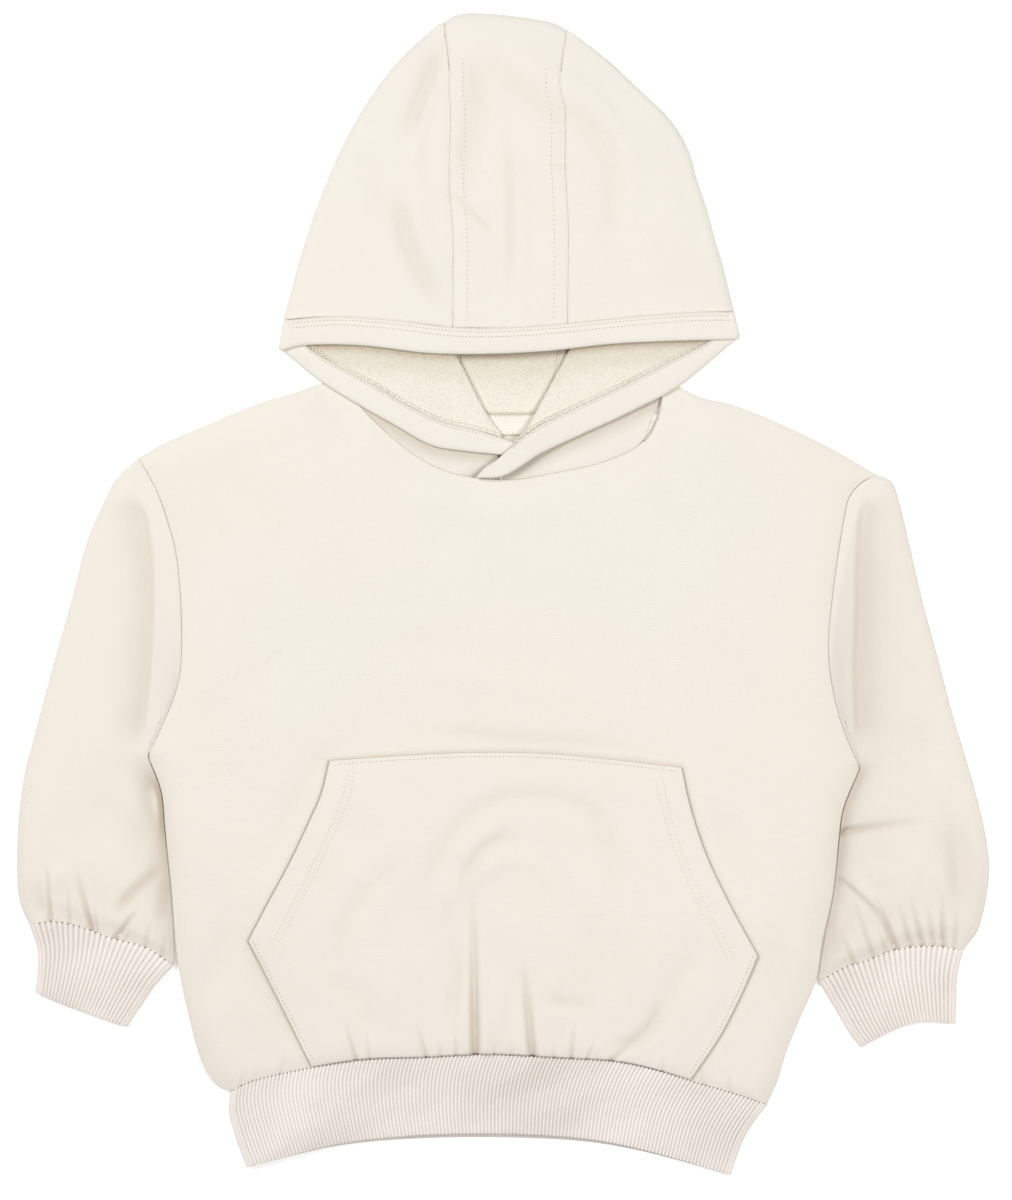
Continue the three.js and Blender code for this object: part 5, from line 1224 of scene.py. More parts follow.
@dataclass
class Body:
    """Front, back and pocket."""

    neck_spans: int = 120
    shoulder_spans: int = 90
    side_spans: int = 98
    armhole_spans: int = 84
    pocket_across: int = 240
    pocket_along: int = 100
    fold_depth: float = 2.2
    rests: tuple[Rest, ...] = (
        Rest(SHOULDER_LEFT, EDGE_TOP, 15), Rest(SHOULDER_RIGHT, EDGE_TOP, 15), Rest(SIDE_LEFT, EDGE_TOP, 14),
        Rest(SIDE_RIGHT, EDGE_TOP, 14), Rest(ARMHOLE_LEFT, 4.3, 14), Rest(ARMHOLE_RIGHT, 4.3, 14),
        Rest(FRONT_NECK_LEFT, UNDER_LAYER_TOP, 22, 1), Rest(FRONT_NECK_RIGHT, UNDER_LAYER_TOP, 22, 1),
        Rest(HEM_SEAM, 4.9, 9), Rest(((-86, 117), (-78, 102)), 3.4, 34, 12),
        Rest(((88, 116), (86, 104)), 3.4, 34, 12),
    )

    def outline(self, neck: Array, scale: float = 1.0) -> Array:
        """Grid between the body's edges for a neckline."""
        spans = [max(4, round(n * scale)) for n in (self.shoulder_spans, self.side_spans, self.armhole_spans)]
        top = joined(spline(SHOULDER_LEFT, spans[0])[::-1], neck, spline(SHOULDER_RIGHT, spans[0]))
        edges = [joined(spline(side, spans[1])[::-1], spline(arm, spans[2])[::-1])
                 for side, arm in ((SIDE_LEFT, ARMHOLE_LEFT), (SIDE_RIGHT, ARMHOLE_RIGHT))]
        return between(spline(HEM_SEAM, len(top) - 1), top, edges[0], edges[1], 60)

    def swell(self, x: Array, y: Array) -> Array:
        """Height of the front without folds."""
        drop = np.zeros(np.shape(x))
        for rest in self.rests:
            away = (distance_to(spline(rest.rows, 24), x, y) - rest.flat) / (rest.reach - rest.flat)
            drop = np.maximum(drop, (FRONT_TOP - rest.height) * (1 - np.clip(away, 0, 1)) ** 2)
        return FRONT_TOP - drop

    def folds(self, x: Array, y: Array) -> tuple[Array, Array]:
        """Rise of the front's soft folds, and of its gathers above the hem."""
        return rise_of(FRONT_CREASES + MIDDLE_FOLDS, x, y), rise_of(HEM_GATHERS, x, y)

    def height(self, x: Array, y: Array) -> Array:
        """Height of the front with its folds and gathers."""
        swell = self.swell(x, y)
        room = 0.25 + 0.75 * step(swell, EDGE_TOP, FRONT_TOP - 0.6)
        soft, gathers = self.folds(x, y)
        uneven = unevenness(x, y, 3, 0.22)
        return swell + np.maximum((soft * self.fold_depth + uneven) * room + gathers, -2.6)

    def shade(self, x: Array, y: Array) -> Array:
        """Painted shade of the front: in its folds and gathers, and a painted shadow along the pocket's free
        edges.
        """
        edge = distance_to_any(POCKET_FREE_EDGES, 40, x, y)
        return hollow(FRONT_CREASES + MIDDLE_FOLDS + HEM_GATHERS, x, y) + 0.34 * near(edge, 1.7)

    def pocket_top(self, x: Array, y: Array) -> Array:
        """Height of the pocket, which takes its form from the front."""
        inside = step(distance_to_any(POCKET_FREE_EDGES, 40, x, y), 0, 15)
        folds = (rise_of(POCKET_CREASES, x, y) + unevenness(x, y, 8, 0.1)) * inside
        mouths = distance_to_any((POCKET_MOUTH_LEFT, POCKET_MOUTH_RIGHT), 40, x, y)
        hemmed = 0.35 * (1 - step(mouths, 11.5, 14.5))
        return self.height(x, y) + 0.3 + CLOTH + 0.7 * inside + folds * self.fold_depth + hemmed

    def pocket_shade(self, x: Array, y: Array) -> Array:
        """Painted shade of the pocket, in its folds and in those of the front under it."""
        return hollow(FRONT_CREASES + MIDDLE_FOLDS + HEM_GATHERS + POCKET_CREASES, x, y)

    @staticmethod
    def cut_size(top: Array) -> tuple[float, float, float]:
        """Flat size of a body panel, whose width is that between the shoulder tips."""
        _, length, area = flat_size(top)
        return float(np.ptp(top[..., 0])) * MM, length, area

    def build(self, shop: Workshop) -> None:
        """Makes the front, the back, the pocket and the pocket's stitches."""
        plan = self.outline(spline(BACK_NECK, 40), 0.4)
        top = lifted(plan, CLOTH)
        cloth = Cloth("back_panel")
        # Painted shade on the back's terry under the hood's bands and the tape; none on its face underneath
        shade = over(opening_shade, plan)
        wall(cloth, top, plan, slots=(1, 0), shade=shade, inner_shade=np.zeros_like(shade))
        laid(placed(cloth.mesh((shop.face, shop.terry)), ["back"]), self.cut_size(top))
        half = self.neck_spans // 2
        neck = joined(spline(FRONT_NECK_LEFT, half), spline(FRONT_NECK_RIGHT, half))
        plan = self.outline(neck)
        top = lifted(plan, over(self.height, plan))
        cloth = Cloth("front_panel")
        # Painted shade in the front's folds, and a dark line of painted shade along all its edges
        wall(cloth, top, plan, slots=(0, 1), shade=over(self.shade, plan), lined=False,
             rim_shade=0.5)
        thing = placed(cloth.mesh((shop.face, shop.terry)), ["front"])
        laid(thing, self.cut_size(top), ["back_panel"])
        self.pocket(shop)

    def pocket(self, shop: Workshop) -> None:
        """Makes the pocket and its rows of stitches."""
        low, mouth = self.pocket_along // 3, self.pocket_along - self.pocket_along // 3
        plan = between(
            spline(POCKET_HEM, self.pocket_across), spline(POCKET_TOP, self.pocket_across),
            joined(spline(POCKET_LOW_LEFT, low), spline(POCKET_MOUTH_LEFT, mouth)),
            joined(spline(POCKET_LOW_RIGHT, low), spline(POCKET_MOUTH_RIGHT, mouth)), 30)
        top = lifted(plan, over(self.pocket_top, plan))
        cloth = Cloth("kangaroo_pocket")
        # Painted shade in the pocket's folds, and a painted shadow along its rounded edges
        wall(cloth, top, plan, radius=0.6, slots=(0, 1), shade=over(self.pocket_shade, plan),
             lined=False, rim_shade=0.95)
        laid(placed(cloth.mesh((shop.face, shop.terry)), ["pocket"]), flat_size(top), ["front_panel"])
        edges = [sideways(spline(POCKET_TOP, 120), -2.2)[3:-3]]
        edges += [sideways(spline(line, 60), sign * 2.2)[2:-2] for line, sign in
                  ((POCKET_LOW_LEFT, -1), (POCKET_LOW_RIGHT, 1))]
        mouths = [sideways(spline(line, 90), sign * inset)[5:-4] for line, sign in
                  ((POCKET_MOUTH_LEFT, -1), (POCKET_MOUTH_RIGHT, 1)) for inset in (11.2, 14.6)]
        for name, rows, sewing in (("pocket_stitches", edges, POCKET_SEWING),
                                   ("pocket_mouth_stitches", mouths, MOUTH_SEWING)):
            on = [lifted(row, over(self.pocket_top, row) - 0.02) for row in rows]
            sewn(shop, name, on, sewing)


# Sleeves and ribs

@dataclass
class Sleeve:
    """A dropped sleeve, gathered into its ribbed cuff."""

    side: str
    armhole: Rows
    cuff_seam: Rows
    edges: tuple[Rows, Rows]
    creases: list[Fold]
    gathers: list[Fold]
    ledge_line: Rows
    seed: int
    side_seam: Rows
    # width of the painted shade along the edge beside the body
    inner_shade_width: float
    fold_depth: float = 1.35
    ledge_drop: float = 2.1
    deepest: float = -3.0
    rows: int = 150
    across: int = 96

    @property
    def sign(self) -> int:
        """-1 for the left sleeve, 1 for the right one: the way outward along x."""
        return -1 if self.side == "left" else 1

    @property
    def inner_edge(self) -> int:
        """Which of the two edges lies beside the body."""
        return 1 if self.side == "left" else 0

    def ledge(self, x: Array, y: Array) -> Array:
        """Drop of the sleeve beyond the flat strip beside the armhole, from 0 to 1."""
        away = distance_to(spline(self.ledge_line, 40), x, y)
        outside = np.interp(y, *np.array(self.ledge_line)[::-1].T[::-1])
        ends = step(y, -84, -66) * (1 - step(y, 42, 55))
        return ends * step(self.sign * (x - outside), -1.2, 3.2) * near(away, 13)

    def folds(self, x: Array, y: Array) -> tuple[Array, Array]:
        """Rise of the sleeve's soft folds, and of its gathers above the cuff."""
        return rise_of(self.creases, x, y), rise_of(self.gathers, x, y)

    def top(self, x: Array, y: Array, s: Array, v: Array) -> Array:
        """Height of the upper side at shares across and along."""
        puffed = SLEEVE_TOP + (SLEEVE_PUFF - SLEEVE_TOP) * step(v, 0.62, 0.9)
        away = distance_to(self.body_edge(), x, y)
        risen = 4.3 + (puffed - 4.3) * step(away, 0, 22)
        middle = risen + (RIB_TOP - 0.3 - risen) * step(v, 0.94, 1)
        arch = (4 * s * (1 - s)) ** 0.42
        base = 2 * SLEEVE_ROLL + (middle - 2 * SLEEVE_ROLL) * arch
        room = step(arch, 0.25, 0.75) * step(away, -0.5, 4)
        soft, pleats = self.folds(x, y)
        uneven = unevenness(x, y, self.seed, 0.25)
        soft = soft * self.fold_depth + uneven - self.ledge_drop * self.ledge(x, y)
        return base + np.maximum(soft + pleats, self.deepest) * room

    def body_edge(self) -> Array:
        """Armhole and a short stretch of the body's side below it."""
        return joined(spline(self.armhole, 50), spline(self.side_seam, 60)[:24])

    def beside_body(self, plan: Array) -> Array:
        """Keeps plan points out of the body near the underarm."""
        line = self.body_edge()[::-1]
        edge = np.interp(plan[..., 1], line[:, 1], line[:, 0])
        corner = spline(self.armhole, 80)[:, 1].min()
        apart = np.minimum(0.12 * np.arange(len(plan)), 2)[:, None]
        apart = apart * step(plan[..., 1], corner - 1, corner + 8)
        outermost = np.minimum if self.side == "left" else np.maximum
        inner = outermost(plan[..., 0], edge + self.sign * apart)
        beside = np.where(plan[..., 1] < line[0, 1], plan[..., 0], inner)
        return np.stack([beside, plan[..., 1]], axis=-1)

    def shade(self, x: Array, y: Array) -> Array:
        """Painted shade of the sleeve: in its folds, beyond the flat strip by the armhole, and along the edge
        beside the body.
        """
        inner = distance_to(spline(self.edges[self.inner_edge], 60), x, y)
        low = step(-y, 80, 98) * near(inner, self.inner_shade_width) * (1 - 0.6 * step(-y, 140, 170))
        return hollow(self.creases + self.gathers, x, y) + 0.3 * self.ledge(x, y) + 0.5 * low

    def build(self, shop: Workshop) -> None:
        """Makes the sleeve."""
        edges = [spline(rows, 110) for rows in self.edges]
        edges[self.inner_edge] = sideways(edges[self.inner_edge], -self.sign * 0.55)
        armhole = spline(self.armhole, 80)[::-self.sign]
        plan = Plan(self.beside_body(between(armhole, spline(self.cuff_seam, 80), *edges, 80)))
        points, uv, _ = flat_tube(plan, self.rows, self.across, 14, 8, SLEEVE_ROLL, self.top)
        cloth = Cloth("knit_sleeve_" + self.side)
        # Painted shade on the sleeve's upper side only
        above = step(points[..., 2], 1.5, 3.5)
        tube(cloth, points, uv, SEAM_ROUND, shade=over(self.shade, points) * above)
        laid(placed(cloth.mesh((shop.face,)), ["sleeve_" + self.side]), flat_size(points, True))


@dataclass
class RibTube:
    """A tube of rib knit, folded double and pressed flat."""

    name: str
    node: str
    seam: Rows
    end: Rows
    edges: tuple[Rows, Rows]
    pitch: float
    lift: float = 0.0
    rows: int = 22
    columns_a_rib: int = 6
    rib_depth: float = 0.75

    def build(self, shop: Workshop) -> None:
        """Makes the tube with its ribs raised on the upper side."""
        plan = Plan(between(spline(self.seam, 60), spline(self.end, 60), spline(self.edges[0], 20),
                            spline(self.edges[1], 20)))
        ends = plan.at(np.array([0.0, 1.0]), np.array([0.5, 0.5]))
        ribs = round(float(np.linalg.norm(ends[1] - ends[0])) / self.pitch)
        across = ribs * self.columns_a_rib

        def top(x: Array, y: Array, s: Array, v: Array) -> Array:
            """Height of the upper side."""
            swell = 2 * RIB_ROLL + (RIB_TOP - 2 * RIB_ROLL) * (4 * s * (1 - s)) ** 0.4
            return swell + 0.12 * np.sin(x * 0.11 + y * 0.05) * np.sin(math.pi * s)

        points, uv, mask = flat_tube(plan, self.rows, across, 40, 6, RIB_ROLL, top)
        phase = np.zeros(mask.shape)
        on = mask[0] > 0
        count = int(on.sum())
        phase[:, on] = 1 + np.arange(1, count + 1) / self.columns_a_rib
        lift = np.zeros(mask.shape)
        bow = np.sin(np.linspace(0, math.pi, count))
        lift[:, on] = bow[None, :] * np.linspace(0, 1, self.rows + 1)[:, None] ** 3
        points[..., 1] += self.lift * lift
        cloth = Cloth(self.name)
        tube(cloth, points, uv, RIB_ROUND, relief=phase)
        thing = cloth.mesh((shop.rib,))
        grown(thing, shop.ribs, {"Depth": self.rib_depth * MM, "Material": shop.rib})
        laid(placed(thing, [self.node]), flat_size(points, True))


# Hood

def hood_swell(x: Array, y: Array) -> Array:
    """Height of the hood's upper layer without creases."""
    inside = distance_to_any((HOOD_OUTER_LEFT, HOOD_OUTER_RIGHT, CROWN_LINE), 30, x, y)
    rise = 1 - (1 - np.clip(inside / 26, 0, 1)) ** 2
    return 2 * HOOD_ROLL + (CROWN_TOP - 2 * HOOD_ROLL) * rise


def hood_top(x: Array, y: Array) -> Array:
    """Height of the hood's upper layer."""
    swell = hood_swell(x, y)
    seams = distance_to_any((CENTRE_SEAM_LEFT, CENTRE_SEAM_RIGHT), 30, x, y)
    soft = rise_of(HOOD_CREASES, x, y) * 1.7 + unevenness(x, y, 11, 0.25)
    room = step(swell, 2 * HOOD_ROLL, CROWN_TOP)
    return swell + (np.maximum(soft, -2.8) - 0.45 * near(seams, 2.5)) * room


def hood_shade(x: Array, y: Array) -> Array:
    """Painted shade of the hood's upper layer in its folds."""
    room = step(hood_swell(x, y), 2 * HOOD_ROLL, CROWN_TOP)
    return hollow(HOOD_CREASES, x, y) * room


def opening_shade(x: Array, y: Array, taped: bool = True) -> Array:
    """How little light reaches the cloth inside the hood's opening, which its bands and the tape cover."""
    brow = distance_to(spline(BROW_BAND_EDGE, 60), x, y)
    lids = distance_to_any((LID_BAND_EDGE_LEFT, LID_BAND_EDGE_RIGHT), 50, x, y)
    tape = np.minimum(*(distance_to(sideways(spline(BACK_NECK, 40), side), x, y) for side in (-5.6, 5.6)))
    bands = 0.8 * near(brow, 2.6) + 0.34 * near(brow, 16) + 0.6 * near(lids, 5.5)
    return bands + 0.85 * taped * near(tape, 1.0)


def lap_lift(x: Array) -> Array:
    """Rise of the right edge over the left one where they cross."""
    return LAP_LIFT * (1 - step(x, 9, 38)) * step(x, -14, -5)


def turn_section(turn: int, reach: float) -> list[tuple[float, float]]:
    """A fold of cloth seen end on: distance in from its outline, and height from 2 to 0 radii."""
    angles = [math.pi * (0.5 - k / turn) for k in range(1, turn)]
    return [(reach * (1 - math.cos(angle)), 1 + math.sin(angle)) for angle in angles]


@dataclass
class HoodSide:
    """One side panel: crown, layer on the table, and the front turned out over the neck seam."""

    side: str
    seam: Rows
    outer: Rows
    brow: Rows
    rim: Rows
    nape: Rows
    lapel_seam: Rows
    roll: Rows
    neck: Array
    lift: bool
    rows: int = 110
    across: int = 56
    below: int = 18
    lapel_spans: int = 90
    lapel_across: int = 16
    lapel_reach: float = 1.6
    lapel_thickness: float = 0.9

    @property
    def sign(self) -> int:
        """1 where columns run to the right, -1 where they run to the left."""
        return -1 if self.side == "left" else 1

    def layers(self) -> Array:
        """Grid over the crown, round the outline and under."""
        seam, outer, nape = (spline(rows, self.rows) for rows in (self.seam, self.outer, self.nape))

        def tip(a: Array, b: Array) -> Array:
            """Short top edge of the panel."""
            return np.linspace(a, b, 41)

        upper = Plan(between(spline(self.brow, 40), tip(seam[-1], outer[-1]), seam, outer))
        lower = Plan(between(spline(self.rim, 40), tip(outer[-1], nape[-1]), outer, nape))
        v = np.linspace(0, 1, self.rows + 1)
        zero = np.zeros_like(v)
        width = np.linalg.norm(upper.at(zero, v) - upper.at(zero + 1, v), axis=1)
        reach = np.minimum(HOOD_ROLL_OUT, width * 0.4)
        columns = []
        for k in range(self.across + 1):
            place = upper.at(k / self.across * (1 - reach / width), v)
            columns.append(lifted(place, over(hood_top, place)))
        for inset, z in turn_section(8, 1.0):
            columns.append(lifted(upper.at(1 - inset * reach / width, v), z * HOOD_ROLL + zero))
        under = np.linalg.norm(lower.at(zero, v) - lower.at(zero + 1, v), axis=1)
        start = reach / np.maximum(under, reach * 2)
        for k in range(self.below + 1):
            columns.append(lifted(lower.at(start + (1 - start) * k / self.below, v), zero + ON_TABLE))
        return np.stack(columns, axis=1)

    def lapel(self) -> Array:
        """Grid of the turned-out front, from its band over the roll line to the neck seam."""
        spans, last = self.lapel_spans, self.lapel_across
        seam, roll = spline(self.lapel_seam, spans), spline(self.roll, spans)
        neck = resampled(self.neck, spans)
        share = np.linspace(0, 1, spans + 1)
        far = step(share, 0.7, 1)
        lift = lap_lift(seam[:, 0]) if self.lift else np.zeros_like(share)
        top = LAPEL_TOP - 0.2 * far + lift + 0.12 * np.sin(share * 21) * (1 - far)
        low = UNDER_LAYER_TOP - CLOTH - 0.5 * far
        sag = 0.7 * (1 - far)
        width = np.linalg.norm(seam - roll, axis=1)
        reach = np.minimum(self.lapel_reach, width * 0.45)
        columns = []
        for k in range(last + 1):
            place = seam + (roll - seam) * ((width - reach) / width * k / last)[:, None]
            columns.append(lifted(place, top - sag * (k / last) ** 2))
        for inset, z in turn_section(8, 1.0):
            place = roll + (seam - roll) * (inset * reach / width)[:, None]
            columns.append(lifted(place, low + (top - sag - low) * z / 2))
        under = np.linalg.norm(roll - neck, axis=1)
        for k in range(last + 1):
            place = roll + (neck - roll) * ((reach + (under - reach) * k / last) / under)[:, None]
            columns.append(lifted(place, low))
        return np.stack(columns, axis=1)

    def build(self, shop: Workshop) -> None:
        """Makes the crown with its lower layer, and the lapel."""
        grid = self.layers()
        cloth = Cloth("hood_panel_" + self.side)
        # Painted shade: in the crown's folds on the outer face, and under the bands and the tape on the inner
        # face
        outer, inner = over(hood_shade, grid), over(opening_shade, grid)
        outer[:, self.across + 1:] = 0
        wall(cloth, grid, grid[..., :2], self.sign, slots=(0, 1), shade=outer, inner_shade=inner)
        thing = placed(cloth.mesh((shop.face, shop.terry)), ["hood_side_" + self.side])
        laid(thing, flat_size(grid))
        grid = self.lapel()
        cloth = Cloth("turned_out_front_" + self.side)
        # Painted shade: on the lapel's upper face only near the brow band, and in full on its turn and lower
        # part under the lower bands
        shade = over(opening_shade, grid, False)
        turned = grid[:, :14]
        shade[:, :14] *= step(distance_to(spline(BROW_BAND_EDGE, 60), turned[..., 0], turned[..., 1]), 20, 8)
        wall(cloth, grid, grid[..., :2], -self.sign, self.lapel_thickness, slots=(1, 0), inset=0.05,
             shade=shade)
        laid(placed(cloth.mesh((shop.face, shop.terry))), flat_size(grid), ["back_panel"])


@dataclass
class HoodCentre:
    """Centre panel of the hood, from the brow over the crown to the nape."""

    across: int = 44
    along: int = 110
    below: int = 60

    def build(self, shop: Workshop) -> None:
        """Makes the panel and the rows of stitches inside its seams."""
        seams = [spline(rows, self.along) for rows in (CENTRE_SEAM_LEFT, CENTRE_SEAM_RIGHT)]
        crown = spline(CROWN_LINE, 40)
        upper = Plan(between(spline(BROW_CENTRE, 40), crown, *seams))
        napes = [spline(rows, 80) for rows in (NAPE_SEAM_LEFT, NAPE_SEAM_RIGHT)]
        lower = Plan(between(spline(NAPE, 40), crown, *napes))
        u = np.linspace(0, 1, self.across + 1)
        start = HOOD_ROLL_OUT / upper.length()
        rows = []
        for k in range(self.along + 1):
            place = upper.at(u, np.full_like(u, k / self.along * (1 - start)))
            rows.append(lifted(place, over(hood_top, place)))
        for inset, z in turn_section(8, 1.0):
            place = upper.at(u, np.full_like(u, 1 - inset * start))
            rows.append(lifted(place, np.full_like(u, z * HOOD_ROLL)))
        for k in range(self.below + 1):
            place = lower.at(u, np.full_like(u, (1 - k / self.below) ** 2.1 * (1 - start)))
            rows.append(lifted(place, np.full_like(u, ON_TABLE)))
        grid = np.stack(rows)
        cloth = Cloth("hood_middle_panel")
        # Painted shade: in the crown's folds on the outer face, and under the brow band and the tape on the
        # inner face
        outer, inner = over(hood_shade, grid), over(opening_shade, grid)
        outer[self.along + 1:] = 0
        wall(cloth, grid, grid[..., :2], 1, slots=(0, 1), shade=outer, inner_shade=inner)
        laid(placed(cloth.mesh((shop.face, shop.terry)), ["hood_centre"]), flat_size(grid))
        lines = [sideways(spline(rows, 200), sign * 7.4)[3:-30] for rows, sign in
                 ((CENTRE_SEAM_LEFT, -1), (CENTRE_SEAM_RIGHT, 1))]
        on = [lifted(line, over(hood_top, line) - 0.04) for line in lines]
        sewn(shop, "hood_centre_stitches", on, HOOD_SEWING)


@dataclass
class HoodBand:
    """Folded band round the hood's opening, with its sewing."""

    lid_spans: int = 120
    brow_spans: int = 190
    turn_steps: int = 14

    def section(self, seam: Array, edge: Array, middle: float, angle: float, side: int) -> Array:
        """Section of the band from its seam to its folded edge and back.

        Args:
            seam: plan point on the seam.
            edge: plan point on the folded edge.
            middle: height of the middle.
            angle: turn of the band about its length.
            side: side to which it turns.

        Returns:
            Points of the section.
        """
        width = float(np.linalg.norm(edge - seam))
        way = np.append((edge - seam) / width, 0.0)
        out = np.array([way[1], -way[0], 0.0])
        normal = np.array([0, 0, math.cos(angle)]) - out * side * math.sin(angle)
        centre = np.append(seam, middle + BAND_ROLL * (1 - math.cos(angle)))
        centre = centre + out * side * BAND_ROLL * math.sin(angle)
        h = BAND_HALF
        upper = [(-0.55, 0.25), (-0.35, 0.62), (0.2, 0.9), (1.2, 1.0), (0.3 * width, 1.0), (0.6 * width, 1.0),
                 (width - 1.9 * h, 0.96), (width - 0.9 * h, 0.78), (width - 0.3 * h, 0.45), (width, 0.0)]
        corners = upper + [(along, -rise) for along, rise in upper[-2::-1]]
        return np.stack([centre + way * along + normal * rise * h for along, rise in corners])

    def build(self, shop: Workshop) -> None:
        """Makes the band and its stitches."""
        sections = []

        def add(seam: Array, edge: Array, middle: float, angle: float = 0.0, side: int = 1) -> None:
            """Adds one section."""
            sections.append(self.section(seam, edge, middle, angle, side))

        seam, edge, right, right_edge = (spline(rows, self.lid_spans) for rows in (
            LID_BAND_SEAM_LEFT, LID_BAND_EDGE_LEFT, LID_BAND_SEAM_RIGHT, LID_BAND_EDGE_RIGHT))
        right, right_edge = right[::-1], right_edge[::-1]
        for a, b in zip(seam, edge):
            add(a, b, LID_MIDDLE)
        for k in range(1, self.turn_steps):
            add(seam[-1], edge[-1], LID_MIDDLE, math.pi * k / self.turn_steps)
        brow, brow_edge = spline(BROW_BAND_SEAM, self.brow_spans), spline(BROW_BAND_EDGE, self.brow_spans)
        middles = []
        for k, (a, b) in enumerate(zip(brow, brow_edge)):
            ends = abs(2 * k / self.brow_spans - 1) ** 3
            middles.append(BROW_MIDDLE + (LID_MIDDLE + 2 * BAND_ROLL - BROW_MIDDLE) * ends)
            add(a, b, middles[-1] - 2 * BAND_ROLL, math.pi)
        for k in range(self.turn_steps - 1, 0, -1):
            add(right[0], right_edge[0], LID_MIDDLE, math.pi * k / self.turn_steps, -1)
        lifts = lap_lift(right[:, 0])
        for a, b, rise in zip(right, right_edge, lifts):
            add(a, b, LID_MIDDLE + float(rise))
        grid = np.stack(sections)
        ends = [ring.mean(axis=1, keepdims=True) * 0.9 + ring * 0.1 for ring in (grid[:1], grid[-1:])]
        whole = np.concatenate([ends[0], grid, ends[1]])
        run = np.concatenate([[0], np.cumsum(np.linalg.norm(np.diff(whole.mean(axis=1), axis=0), axis=1))])
        ring = np.linspace(0, 30, whole.shape[1])
        uv = np.stack(np.broadcast_arrays(run[:, None], ring[None, :]), axis=-1)
        cloth = Cloth("folded_hood_band")
        cloth.grid(whole, uv, closed=True, flip=True)
        thing = placed(cloth.mesh((shop.face,)), ["hood_band"])
        length = run[-1] * MM
        laid(thing, (length, 0.015, length * 0.0145), ["hood_panel_left"])
        self.stitch(shop, (seam, edge), (brow, brow_edge, np.array(middles)), (right, right_edge, lifts))

    def stitch(self, shop: Workshop, left: tuple[Array, Array], brow: tuple[Array, Array, Array],
               right: tuple[Array, Array, Array]) -> None:
        """Sews the band: two rows at the brow, a looped row and a plain one on the lower edges.

        Args:
            left: seam and edge of the left lower edge.
            brow: seam, edge and mid heights at the brow.
            right: seam, edge and rises of the right lower edge.
        """
        def inward(seam: Array, edge: Array, distance: float) -> Array:
            """Points at a distance from the seam towards the edge."""
            return seam + unit(edge - seam) * distance

        on_band = brow[2] + BAND_HALF - 0.02
        rows = [lifted(inward(brow[0], brow[1], inset), on_band)[2:-2] for inset in (1.6, 4.1)]
        sewn(shop, "brow_stitches", rows, BROW_SEWING)
        top = LID_MIDDLE + BAND_HALF

        def along(inset: float, rise: float) -> list[Array]:
            """One row beside the seam of each lower edge."""
            return [lifted(inward(left[0], left[1], inset), rise)[12:-3],
                    lifted(inward(right[0], right[1], inset), rise + right[2])[3:-15]]

        beads = along(1.0, top + 0.03) + along(-2.6, LAPEL_TOP + 0.2)
        sewn(shop, "looped_beads_of_the_band", beads, BEAD_SEWING)
        sewn(shop, "looped_threads_of_the_band", along(-1.15, LAPEL_TOP + 0.35), LOOP_SEWING)


@dataclass
class NeckTape:
    """Twill tape over the back neck seam."""

    half: float = 5.6
    shown: float = 98.0
    bottom: float = 1.55
    top: float = 2.15

    def build(self, shop: Workshop) -> None:
        """Makes the tape and the stitches along both of its edges."""
        line = spline(BACK_NECK[2:-2], 80)
        plan = np.stack([sideways(line, self.half * share) for share in np.linspace(-1, 1, 17)])
        across = np.stack(np.broadcast_arrays(
            np.linspace(0, self.shown, 81)[None, :], np.linspace(0, 2 * self.half, 17)[:, None]), axis=-1)
        # Painted shade: a dark line along both edges of the tape
        painted_edge_shade = np.zeros(across.shape[:2])
        painted_edge_shade[[0, -1]] = 0.75
        cloth = Cloth("twill_neck_tape")
        grid = lifted(plan, self.top)
        wall(cloth, grid, across, thickness=self.top - self.bottom, radius=0.25, inset=0, shade=painted_edge_shade)
        laid(placed(cloth.mesh((shop.twill,)), ["neck_tape"]), flat_size(grid), ["back_panel"])
        rows = [lifted(sideways(line, offset), self.top) for offset in (-4.7, 4.7)]
        sewn(shop, "tape_stitches", rows, TAPE_SEWING)
        tack = [lifted(np.array([(-1.2, 62.3), (-1.0, 59.9)]), 4.0)]
        sewn(shop, "tack_at_the_neck", tack, TACK_SEWING)


# Studio

@dataclass(frozen=True)
class Softbox:
    """A square soft light that looks at the table's middle."""

    place: tuple[float, float, float]
    size: float
    power: float


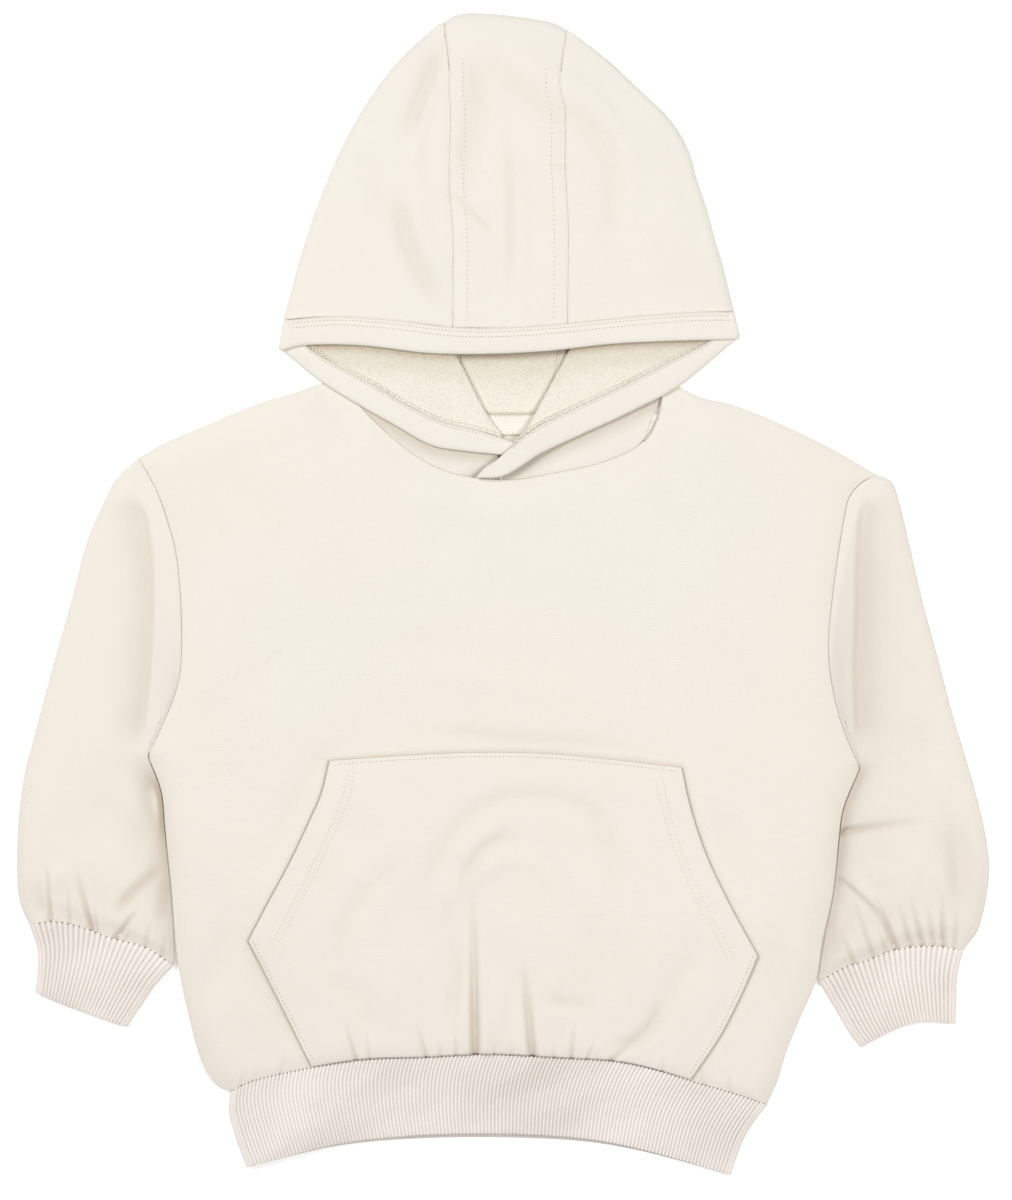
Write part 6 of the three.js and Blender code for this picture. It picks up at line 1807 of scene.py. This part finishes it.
@dataclass
class Studio:
    """Floor, lights and camera."""

    distance: float = 2.4
    view_height: float = 0.636
    view_middle: tuple[float, float] = (0.0016, -0.0032)
    table_half: float = 3.0
    table_height: float = -0.0004
    sensor: float = 36.0
    sky_power: float = 0.275
    table_glow: float = 0.22
    lights: tuple[Softbox, ...] = (
        Softbox((-1.15, 0.6, 1.7), 0.8, 24.6), Softbox((0.95, -0.1, 1.8), 0.8, 21.0))

    def build(self) -> None:
        """Sets up floor, lights, sky and camera."""
        bpy.context.scene.view_settings.view_transform = "Standard"
        self.floor()
        for number, box in enumerate(self.lights):
            self.light("softbox %d" % number, box)
        sky = bpy.data.worlds.new("studio")
        sky.use_nodes = True
        background = sky.node_tree.nodes["Background"]
        background.inputs[0].default_value = (1.0, 0.995, 0.985, 1)
        background.inputs[1].default_value = self.sky_power
        bpy.context.scene.world = sky
        self.camera()

    def floor(self) -> None:
        """Lays the pale table under the garment."""
        corners = ((-1, -1), (1, -1), (1, 1), (-1, 1))
        mesh = bpy.data.meshes.new("table_top")
        mesh.from_pydata([(self.table_half * x, self.table_half * y, self.table_height) for x, y in corners],
                         [], [(0, 1, 2, 3)])
        table = bpy.data.objects.new("table_top", mesh)
        bpy.context.scene.collection.objects.link(table)
        pale = bpy.data.materials.new("pale table")
        pale.use_nodes = True
        for setting, value in (("Base Color", (0.97, 0.97, 0.975, 1)), ("Roughness", 0.8),
                               ("Emission Color", (1, 1, 1, 1)), ("Emission Strength", self.table_glow)):
            pale.node_tree.nodes["Principled BSDF"].inputs[setting].default_value = value
        mesh.materials.append(pale)

    def light(self, name: str, box: Softbox) -> None:
        """Hangs one soft light, turned to the middle of the table."""
        lamp = bpy.data.lights.new(name, "AREA")
        lamp.size, lamp.energy = box.size, box.power
        thing = bpy.data.objects.new(lamp.name, lamp)
        thing.location = box.place
        aim = -np.array(box.place)
        thing.rotation_euler = (math.atan2(math.hypot(aim[0], aim[1]), -aim[2]), 0,
                                math.atan2(aim[1], aim[0]) - math.pi / 2)
        bpy.context.scene.collection.objects.link(thing)

    def camera(self) -> None:
        """Puts the camera straight above the garment."""
        lens = bpy.data.cameras.new("overhead")
        lens.sensor_fit = "VERTICAL"
        lens.sensor_height = self.sensor
        lens.lens = self.sensor * self.distance / self.view_height
        camera = bpy.data.objects.new("overhead", lens)
        camera.location = (*self.view_middle, self.distance)
        bpy.context.scene.collection.objects.link(camera)
        bpy.context.scene.camera = camera


def neck_of(rows: Rows, turn: Rows, backwards: bool) -> Array:
    """Front neck seam of one half of the hood, and the hidden turn beyond it."""
    line = spline(rows, 60)
    return joined(line[::-1] if backwards else line, spline(turn, 12))


def main() -> None:
    """Builds the hoodie piece by piece and reports each through logging."""
    logging.basicConfig(level=logging.INFO, format="%(message)s")
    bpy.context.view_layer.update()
    shop = Workshop.fitted_out()
    Body().build(shop)
    Sleeve("left", ARMHOLE_LEFT, CUFF_SEAM_LEFT, (SLEEVE_OUTER_LEFT, SLEEVE_INNER_LEFT),
           SLEEVE_CREASES_LEFT, CUFF_GATHERS_LEFT, LEDGE_LEFT, 5, SIDE_LEFT, 8.0).build(shop)
    Sleeve("right", ARMHOLE_RIGHT, CUFF_SEAM_RIGHT, (SLEEVE_INNER_RIGHT, SLEEVE_OUTER_RIGHT),
           SLEEVE_CREASES_RIGHT, CUFF_GATHERS_RIGHT, LEDGE_RIGHT, 6, SIDE_RIGHT, 4.5).build(shop)
    for ribs in (
            RibTube("ribbed_hem", "hem_band", HEM_SEAM, HEM_END, (HEM_LEFT, HEM_RIGHT), 2.0, 2.4),
            RibTube("ribbed_cuff_left", "cuff_left", CUFF_SEAM_LEFT, CUFF_END_LEFT,
                    (CUFF_OUTER_LEFT, CUFF_INNER_LEFT), 2.5),
            RibTube("ribbed_cuff_right", "cuff_right", CUFF_SEAM_RIGHT, CUFF_END_RIGHT,
                    (CUFF_INNER_RIGHT, CUFF_OUTER_RIGHT), 2.5)):
        ribs.build(shop)
    necks = (neck_of(FRONT_NECK_LEFT, NECK_TURN_LEFT, True),
             neck_of(FRONT_NECK_RIGHT, NECK_TURN_RIGHT, False))
    HoodSide("left", CENTRE_SEAM_LEFT, HOOD_OUTER_LEFT, BROW_SEAM_LEFT, BACK_RIM_LEFT, NAPE_SEAM_LEFT,
             LAPEL_SEAM_LEFT, ROLL_LEFT, necks[0], False).build(shop)
    HoodSide("right", CENTRE_SEAM_RIGHT, HOOD_OUTER_RIGHT, BROW_SEAM_RIGHT, BACK_RIM_RIGHT, NAPE_SEAM_RIGHT,
             LAPEL_SEAM_RIGHT, ROLL_RIGHT, necks[1], True).build(shop)
    HoodCentre().build(shop)
    HoodBand().build(shop)
    NeckTape().build(shop)
    Studio().build()


if __name__ == "__main__":
    main()
